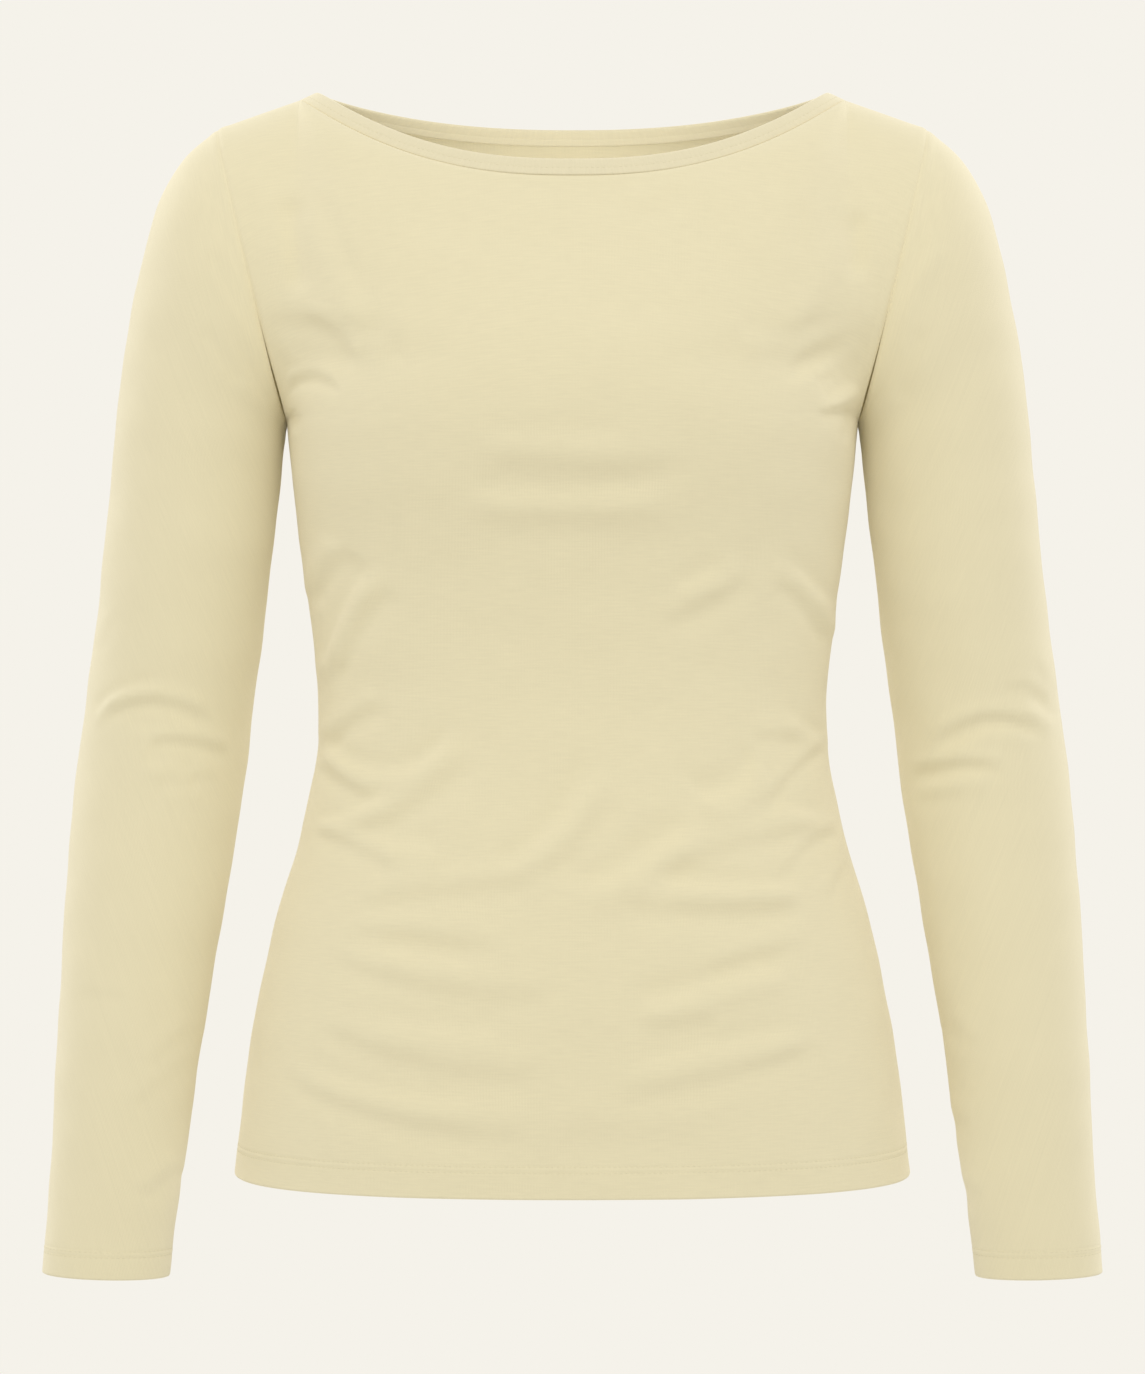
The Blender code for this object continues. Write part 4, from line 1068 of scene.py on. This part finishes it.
def slub_group():
    """Uneven yarn: noise drawn out along the courses, and a finer cloudy noise over it. Both come out
    as shades about zero."""
    number = "NodeSocketFloat"
    group, source, result = new_group(
        "slub_yarn",
        (
            ("Vector", "NodeSocketVector", None),
            ("Slub Length", number, 0.013),
            ("Slub Thickness", number, 0.0009),
            ("Cloud Size", number, 0.01),
        ),
        (("Slub", number), ("Cloud", number)),
    )
    split = group.nodes.new("ShaderNodeSeparateXYZ")
    group.links.new(source.outputs["Vector"], split.inputs[0])
    drawn = group.nodes.new("ShaderNodeCombineXYZ")
    along = math_node(group, "DIVIDE", split.outputs["X"], source.outputs["Slub Length"])
    across = math_node(group, "DIVIDE", split.outputs["Y"], source.outputs["Slub Thickness"])
    group.links.new(along, drawn.inputs["X"])
    group.links.new(across, drawn.inputs["Y"])
    streaks = group.nodes.new("ShaderNodeTexNoise")
    streaks.inputs["Scale"].default_value = 1.0
    streaks.inputs["Detail"].default_value = 2.0
    group.links.new(drawn.outputs[0], streaks.inputs["Vector"])
    group.links.new(
        math_node(group, "SUBTRACT", streaks.outputs["Fac"], 0.5), result.inputs["Slub"]
    )
    clouds = group.nodes.new("ShaderNodeTexNoise")
    clouds.inputs["Detail"].default_value = 3.0
    scale = math_node(group, "DIVIDE", 1.0, source.outputs["Cloud Size"])
    group.links.new(scale, clouds.inputs["Scale"])
    group.links.new(source.outputs["Vector"], clouds.inputs["Vector"])
    group.links.new(
        math_node(group, "SUBTRACT", clouds.outputs["Fac"], 0.5), result.inputs["Cloud"]
    )
    return group


def group_node(tree, name, maker):
    """A node of the named group, which is made the first time."""
    node = tree.nodes.new("ShaderNodeGroup")
    node.node_tree = bpy.data.node_groups.get(name) or maker()
    return node


def jersey_material(name, colour, cloth, turned=False):
    """Fine jersey: matt, with a soft bloom at grazing angles, faint slubs along the courses and the relief
    of its loops, whose height also paints shade into the colour: darker in the grooves between the loops,
    lighter on their tops."""
    material = bpy.data.materials.get(name)
    if material:
        return material
    material = bpy.data.materials.new(name)
    material.use_nodes = True
    tree = material.node_tree
    shader = tree.nodes["Principled BSDF"]
    place = tree.nodes.new("ShaderNodeUVMap")
    place.uv_map = "cloth"
    turn = tree.nodes.new("ShaderNodeMapping")
    turn.inputs["Rotation"].default_value[2] = np.pi / 2 if turned else 0.0
    tree.links.new(place.outputs["UV"], turn.inputs["Vector"])
    loops = group_node(tree, "jersey_loops", knit_group)
    loops.inputs["Wale Pitch"].default_value = cloth.wale_pitch
    loops.inputs["Course Pitch"].default_value = cloth.course_pitch
    yarn = group_node(tree, "slub_yarn", slub_group)
    for node in (loops, yarn):
        tree.links.new(turn.outputs["Vector"], node.inputs["Vector"])
    shade = math_node(tree, "MULTIPLY_ADD", yarn.outputs["Slub"], cloth.slub_strength, 1.0)
    shade = math_node(
        tree, "MULTIPLY_ADD", yarn.outputs["Cloud"], cloth.cloud_strength, shade
    )
    # Painted shade: the colour is darker in the grooves between the loops and lighter on their tops, from
    # the loops' height
    shade = math_node(tree, "MULTIPLY_ADD", loops.outputs["Height"], LOOP_GROOVE_PAINTED_SHADE, shade)
    paint = tree.nodes.new("ShaderNodeMix")
    paint.data_type = "RGBA"
    paint.blend_type = "MULTIPLY"
    paint.inputs["Factor"].default_value = 1.0
    paint.inputs["A"].default_value = (*colour, 1.0)
    tint = tree.nodes.new("ShaderNodeCombineColor")
    for channel in ("Red", "Green", "Blue"):
        tree.links.new(shade, tint.inputs[channel])
    tree.links.new(tint.outputs["Color"], paint.inputs["B"])
    tree.links.new(paint.outputs["Result"], shader.inputs["Base Color"])
    rough = math_node(
        tree, "MULTIPLY_ADD", yarn.outputs["Cloud"], ROUGHNESS_SPREAD, cloth.roughness
    )
    tree.links.new(rough, shader.inputs["Roughness"])
    relief = math_node(
        tree, "MULTIPLY_ADD", yarn.outputs["Slub"], SLUB_RELIEF, loops.outputs["Height"]
    )
    bump = tree.nodes.new("ShaderNodeBump")
    bump.inputs["Strength"].default_value = cloth.knit_strength
    bump.inputs["Distance"].default_value = cloth.knit_depth
    tree.links.new(relief, bump.inputs["Height"])
    tree.links.new(bump.outputs["Normal"], shader.inputs["Normal"])
    shader.inputs["Specular IOR Level"].default_value = 0.25
    shader.inputs["Sheen Weight"].default_value = 1.0
    shader.inputs["Sheen Roughness"].default_value = 0.8
    shader.inputs["Sheen Tint"].default_value = (1.0, 0.94, 0.76, 1.0)
    return material


def thread_material(name, colour):
    """Sewing thread: a little smoother than the cloth, with the twist of its plies."""
    material = bpy.data.materials.get(name)
    if material:
        return material
    material = bpy.data.materials.new(name)
    material.use_nodes = True
    tree = material.node_tree
    shader = tree.nodes["Principled BSDF"]
    place = tree.nodes.new("ShaderNodeTexCoord")
    twist = tree.nodes.new("ShaderNodeTexNoise")
    twist.inputs["Scale"].default_value = TWIST_SCALE
    tree.links.new(place.outputs["Object"], twist.inputs["Vector"])
    ramp = tree.nodes.new("ShaderNodeMix")
    ramp.data_type = "RGBA"
    ramp.inputs["A"].default_value = (*(THREAD_SHADE * np.array(colour)), 1.0)
    ramp.inputs["B"].default_value = (*colour, 1.0)
    tree.links.new(twist.outputs["Fac"], ramp.inputs["Factor"])
    tree.links.new(ramp.outputs["Result"], shader.inputs["Base Color"])
    shader.inputs["Roughness"].default_value = 0.6
    shader.inputs["Sheen Weight"].default_value = 0.2
    return material


def glow_material(name, colour):
    """Evenly lit paper: the floor, as pale as what lies behind it."""
    material = bpy.data.materials.new(name)
    material.use_nodes = True
    tree = material.node_tree
    tree.nodes.clear()
    light = tree.nodes.new("ShaderNodeEmission")
    light.inputs["Color"].default_value = (*colour, 1.0)
    light.inputs["Strength"].default_value = 1.0
    out = tree.nodes.new("ShaderNodeOutputMaterial")
    tree.links.new(light.outputs[0], out.inputs["Surface"])
    material.cycles.emission_sampling = "NONE"
    return material


# Settings ---------------------------------------------------------------------------------------


def length_setting(name, description, default, least=0.0):
    """A length in metres, for the sidebar."""
    return bpy.props.FloatProperty(
        name=name,
        description=description,
        default=default,
        min=least,
        precision=5,
        subtype="DISTANCE",
        unit="LENGTH",
    )


def share_setting(name, description, default, most=2.0):
    """A plain number without a unit, for the sidebar."""
    return bpy.props.FloatProperty(
        name=name, description=description, default=default, min=0.0, max=most
    )


def colour_setting(name, description, default):
    """A linear colour, for the sidebar."""
    return bpy.props.FloatVectorProperty(
        name=name,
        description=description,
        default=default,
        subtype="COLOR",
        size=3,
        min=0.0,
        max=1.0,
    )


class ClothSettings(bpy.types.PropertyGroup):
    """Sizes and colours of the cloth."""

    wall: length_setting("Cloth", "Thickness of the single cloth", 0.0012)
    turned_wall: length_setting("Turned cloth", "Thickness where an edge is folded up", 0.0022)
    hem_depth: length_setting("Hem", "Depth of the turned hem", 0.018)
    cuff_depth: length_setting("Cuff turn", "Depth of the turned edge of a sleeve", 0.016)
    seam_depth: length_setting("Seam", "How far the cloth dips to a seam", 0.0006)
    crease_strength: share_setting("Creases", "How deep the creases are", 1.0)
    binding_thickness: length_setting("Binding", "Thickness of the neck binding", 0.0020)
    wale_pitch: length_setting("Wales", "Width of one column of loops", 0.0008)
    course_pitch: length_setting("Courses", "Height of one row of loops", 0.0006)
    knit_depth: length_setting("Loops", "Height of the loops", 0.0002)
    knit_strength: share_setting("Loop relief", "Strength of the loops' relief", 0.35)
    slub_strength: share_setting("Slubs", "How much the yarn's shade varies", 0.13)
    cloud_strength: share_setting("Clouds", "How much the cloth's shade varies", 0.03)
    roughness: share_setting("Roughness", "Roughness of the cloth", 0.88, most=1.0)
    jersey_colour: colour_setting("Jersey", "Colour of the jersey", (0.676, 0.614, 0.404))
    binding_colour: colour_setting(
        "Neck binding", "Colour of the neck binding", (0.652, 0.592, 0.404)
    )
    thread_colour: colour_setting("Thread", "Colour of the thread", (0.76, 0.70, 0.49))


class StitchSettings(bpy.types.PropertyGroup):
    """Sizes of the stitches."""

    length: length_setting("Length", "Length of one stitch", 0.0025)
    pitch: length_setting("Pitch", "From one stitch to the next", 0.0030, least=0.001)
    width: length_setting("Thread", "Width of the thread", 0.00040)
    proud: length_setting("Proud", "How far the thread stands on the cloth", 0.00005)


class StageSettings(bpy.types.PropertyGroup):
    """The floor, the lights and the view."""

    backdrop: colour_setting("Backdrop", "Colour of floor and background", (0.913, 0.888, 0.823))
    floor_level: bpy.props.FloatProperty(
        name="Floor",
        description="Level of the floor",
        default=-1.33,
        subtype="DISTANCE",
        unit="LENGTH",
    )
    floor_radius: length_setting("Floor radius", "Radius of the floor", 3.5)
    ambient: share_setting("Ambient", "How far the background lights the cloth", 0.80)
    key_power: share_setting("Key light", "Watts of the light above the camera", 90.0, most=500.0)
    key_size: length_setting("Key size", "Width of the light", 2.6)
    rim_power: share_setting("Rim lights", "Watts of each light behind", 14.0, most=500.0)
    rim_size: length_setting("Rim size", "Width of each light behind", 1.2)
    neck_power: share_setting("Neck light", "Watts of the light in the neck opening", 0.115)
    distance: length_setting("Camera distance", "From the camera to the garment", EYE_DISTANCE)


# Operators --------------------------------------------------------------------------------------


def cloth_material(cloth):
    """The jersey of panels and sleeves."""
    return jersey_material("butter_jersey", tuple(cloth.jersey_colour), cloth)


def make_panel(name, node, side, cloth):
    """A panel's shell, which stands for its solid."""
    outer, inner, _, uv, _ = panel_surface(side, cloth)
    made = wall_object(name, outer, inner, uv, False, cloth_material(cloth))
    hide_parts(node)
    return made


class SHIRT_OT_front(bpy.types.Operator):
    """Front of the shirt, from the hem to the boat neck, with its creases"""

    bl_idname = "shirt.front"
    bl_label = "Front"

    def execute(self, context):
        made = make_panel("front_cloth", "front_panel", FRONT, context.scene.shirt_cloth)
        return {"FINISHED"}


class SHIRT_OT_back(bpy.types.Operator):
    """Back of the shirt, from the hem to the nape"""

    bl_idname = "shirt.back"
    bl_label = "Back"

    def execute(self, context):
        made = make_panel("back_cloth", "back_panel", BACK, context.scene.shirt_cloth)
        return {"FINISHED"}


class SHIRT_OT_sleeves(bpy.types.Operator):
    """Both sleeves, each a tube from the armhole to the cuff"""

    bl_idname = "shirt.sleeves"
    bl_label = "Sleeves"

    def execute(self, context):
        cloth = context.scene.shirt_cloth
        for name, hand in (("sleeve_left", 1), ("sleeve_right", -1)):
            outer, inner, _, uv, _ = sleeve_surface(hand, cloth)
            made = wall_object(
                name + "_cloth", outer, inner, uv, True, cloth_material(cloth)
            )
            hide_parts(name)
        return {"FINISHED"}


class SHIRT_OT_binding(bpy.types.Operator):
    """Neck binding: a strip folded over the neck edge"""

    bl_idname = "shirt.binding"
    bl_label = "Neck binding"

    def execute(self, context):
        cloth = context.scene.shirt_cloth
        grid, uv = binding_surface(cloth)
        rows, cols = grid.shape[:2]
        quads = grid_quads(rows, cols, closed=True)
        last = (rows - 1) * cols
        closing = np.arange(cols)
        ahead = (closing + 1) % cols
        seam = np.stack([last + closing, last + ahead, ahead, closing], axis=-1)
        material = jersey_material(
            "binding_jersey", tuple(cloth.binding_colour), cloth, turned=True
        )
        made = add_mesh(
            "binding_cloth",
            grid.reshape(-1, 3),
            np.concatenate([quads, seam]),
            uv.reshape(-1, 2),
            material,
        )
        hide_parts("neck_binding")
        return {"FINISHED"}


class SHIRT_OT_hem_stitches(bpy.types.Operator):
    """Twin-needle rows along the hem"""

    bl_idname = "shirt.hem_stitches"
    bl_label = "Hem stitches"

    def execute(self, context):
        cloth, stitches = context.scene.shirt_cloth, context.scene.shirt_stitches
        lines = []
        for side in (FRONT, BACK):
            surface = panel_surface(side, cloth)
            for above in needle_rows(cloth.hem_depth):
                lines.append((*row_at(surface, above), False))
        material = thread_material("jersey_thread", tuple(cloth.thread_colour))
        add_stitches("hem_stitches", lines, stitches, material)
        return {"FINISHED"}


class SHIRT_OT_cuff_stitches(bpy.types.Operator):
    """Twin-needle rows round the cuff edges"""

    bl_idname = "shirt.cuff_stitches"
    bl_label = "Cuff stitches"

    def execute(self, context):
        cloth, stitches = context.scene.shirt_cloth, context.scene.shirt_stitches
        material = thread_material("jersey_thread", tuple(cloth.thread_colour))
        for name, hand in (("left", 1), ("right", -1)):
            surface = sleeve_surface(hand, cloth)
            rows = needle_rows(cloth.cuff_depth)
            lines = [(*row_at(surface, above), True) for above in rows]
            made = add_stitches(f"cuff_stitches_{name}", lines, stitches, material)
        return {"FINISHED"}


class SHIRT_OT_neck_stitches(bpy.types.Operator):
    """Topstitching through the neck binding"""

    bl_idname = "shirt.neck_stitches"
    bl_label = "Neck stitches"

    def execute(self, context):
        cloth, stitches = context.scene.shirt_cloth, context.scene.shirt_stitches
        seam, fold, normals = neck_loop(BINDING_COLUMNS)
        groove_out, groove_up = NECK_ROW
        out = groove_out * cloth.binding_thickness / 2 + BINDING_CLOTH / 2 - cloth.wall / 2
        line = seam + groove_up * (fold - seam) + out * normals
        material = thread_material("jersey_thread", tuple(cloth.thread_colour))
        made = add_stitches("neck_stitches", [(line, normals, True)], stitches, material)
        return {"FINISHED"}


def add_light(name, place, target, size, power):
    """A square soft light that faces its target."""
    data = bpy.data.lights.new(name, "AREA")
    data.size = size
    data.energy = power
    made = bpy.data.objects.new(name, data)
    made.location = place
    aim = np.array(place) - np.array(target)
    flat = float(np.hypot(aim[0], aim[1]))
    made.rotation_euler = (
        float(np.arctan2(flat, aim[2])),
        0.0,
        float(np.arctan2(aim[0], -aim[1])),
    )
    bpy.context.scene.collection.objects.link(made)
    return made


class SHIRT_OT_stage(bpy.types.Operator):
    """Floor, background, soft lights and camera"""

    bl_idname = "shirt.stage"
    bl_label = "Stage"

    def execute(self, context):
        scene, stage = context.scene, context.scene.shirt_stage
        scene.view_settings.view_transform = "Standard"
        world = bpy.data.worlds.new("studio")
        world.use_nodes = True
        background = world.node_tree.nodes["Background"]
        background.inputs["Color"].default_value = (*stage.backdrop, 1.0)
        path = world.node_tree.nodes.new("ShaderNodeLightPath")
        seen_straight = path.outputs["Is Camera Ray"]
        strength = math_node(
            world.node_tree, "MULTIPLY_ADD", seen_straight, 1.0 - stage.ambient, stage.ambient
        )
        world.node_tree.links.new(strength, background.inputs["Strength"])
        scene.world = world
        turn = np.linspace(0.0, 2 * np.pi, FLOOR_SIDES, endpoint=False)
        level = np.full_like(turn, stage.floor_level)
        ring = np.stack(
            [stage.floor_radius * np.cos(turn), stage.floor_radius * np.sin(turn), level], axis=-1
        )
        mesh = bpy.data.meshes.new("floor")
        mesh.from_pydata(ring.tolist(), [], [list(range(len(turn)))])
        mesh.materials.append(glow_material("pale_floor", tuple(stage.backdrop)))
        floor = bpy.data.objects.new("floor", mesh)
        scene.collection.objects.link(floor)
        middle = (0.0, 0.0, EYE_LEVEL)
        add_light("key", KEY_PLACE, middle, stage.key_size, stage.key_power)
        for name, hand in (("rim_left", 1), ("rim_right", -1)):
            place = (hand * RIM_PLACE[0], *RIM_PLACE[1:])
            add_light(name, place, middle, stage.rim_size, stage.rim_power)
        nape = (0.0, NECK_MIDDLES[BACK][1], NECK_MIDDLES[BACK][0])
        inside = add_light("neck", NECK_LIGHT_PLACE, nape, NECK_LIGHT_SIZE, stage.neck_power)
        inside.visible_camera = False
        camera_data = bpy.data.cameras.new("camera")
        camera_data.sensor_width = 36.0
        camera_data.lens = camera_data.sensor_width * stage.distance / VIEW_HEIGHT
        camera = bpy.data.objects.new("camera", camera_data)
        camera.location = (0.0, -stage.distance, EYE_LEVEL)
        camera.rotation_euler = (np.pi / 2, 0.0, 0.0)
        scene.collection.objects.link(camera)
        scene.camera = camera
        return {"FINISHED"}


class SHIRT_PT_panel(bpy.types.Panel):
    """Lists the steps that make the shirt"""

    bl_idname = "SHIRT_PT_panel"
    bl_label = "Long-sleeve t-shirt"
    bl_space_type = "VIEW_3D"
    bl_region_type = "UI"
    bl_category = "Shirt"

    def draw(self, context):
        for operator in OPERATORS:
            self.layout.operator(operator.bl_idname)
        for group in ("shirt_cloth", "shirt_stitches", "shirt_stage"):
            settings = getattr(context.scene, group)
            column = self.layout.column(align=True)
            for name in settings.bl_rna.properties.keys():
                if name not in ("rna_type", "name"):
                    column.prop(settings, name)


OPERATORS = (
    SHIRT_OT_front,
    SHIRT_OT_back,
    SHIRT_OT_sleeves,
    SHIRT_OT_binding,
    SHIRT_OT_hem_stitches,
    SHIRT_OT_cuff_stitches,
    SHIRT_OT_neck_stitches,
    SHIRT_OT_stage,
)
SETTINGS = (ClothSettings, StitchSettings, StageSettings)
CLASSES = (*SETTINGS, *OPERATORS, SHIRT_PT_panel)


def register():
    for each in CLASSES:
        bpy.utils.register_class(each)
    bpy.types.Scene.shirt_cloth = bpy.props.PointerProperty(type=ClothSettings)
    bpy.types.Scene.shirt_stitches = bpy.props.PointerProperty(type=StitchSettings)
    bpy.types.Scene.shirt_stage = bpy.props.PointerProperty(type=StageSettings)


def unregister():
    del bpy.types.Scene.shirt_stage
    del bpy.types.Scene.shirt_stitches
    del bpy.types.Scene.shirt_cloth
    for each in reversed(CLASSES):
        bpy.utils.unregister_class(each)


def main():
    """Makes the whole shirt and its stage."""
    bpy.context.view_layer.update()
    register()
    bpy.ops.shirt.front()
    bpy.ops.shirt.back()
    bpy.ops.shirt.sleeves()
    bpy.ops.shirt.binding()
    bpy.ops.shirt.hem_stitches()
    bpy.ops.shirt.cuff_stitches()
    bpy.ops.shirt.neck_stitches()
    bpy.ops.shirt.stage()


if __name__ == "__main__":
    main()
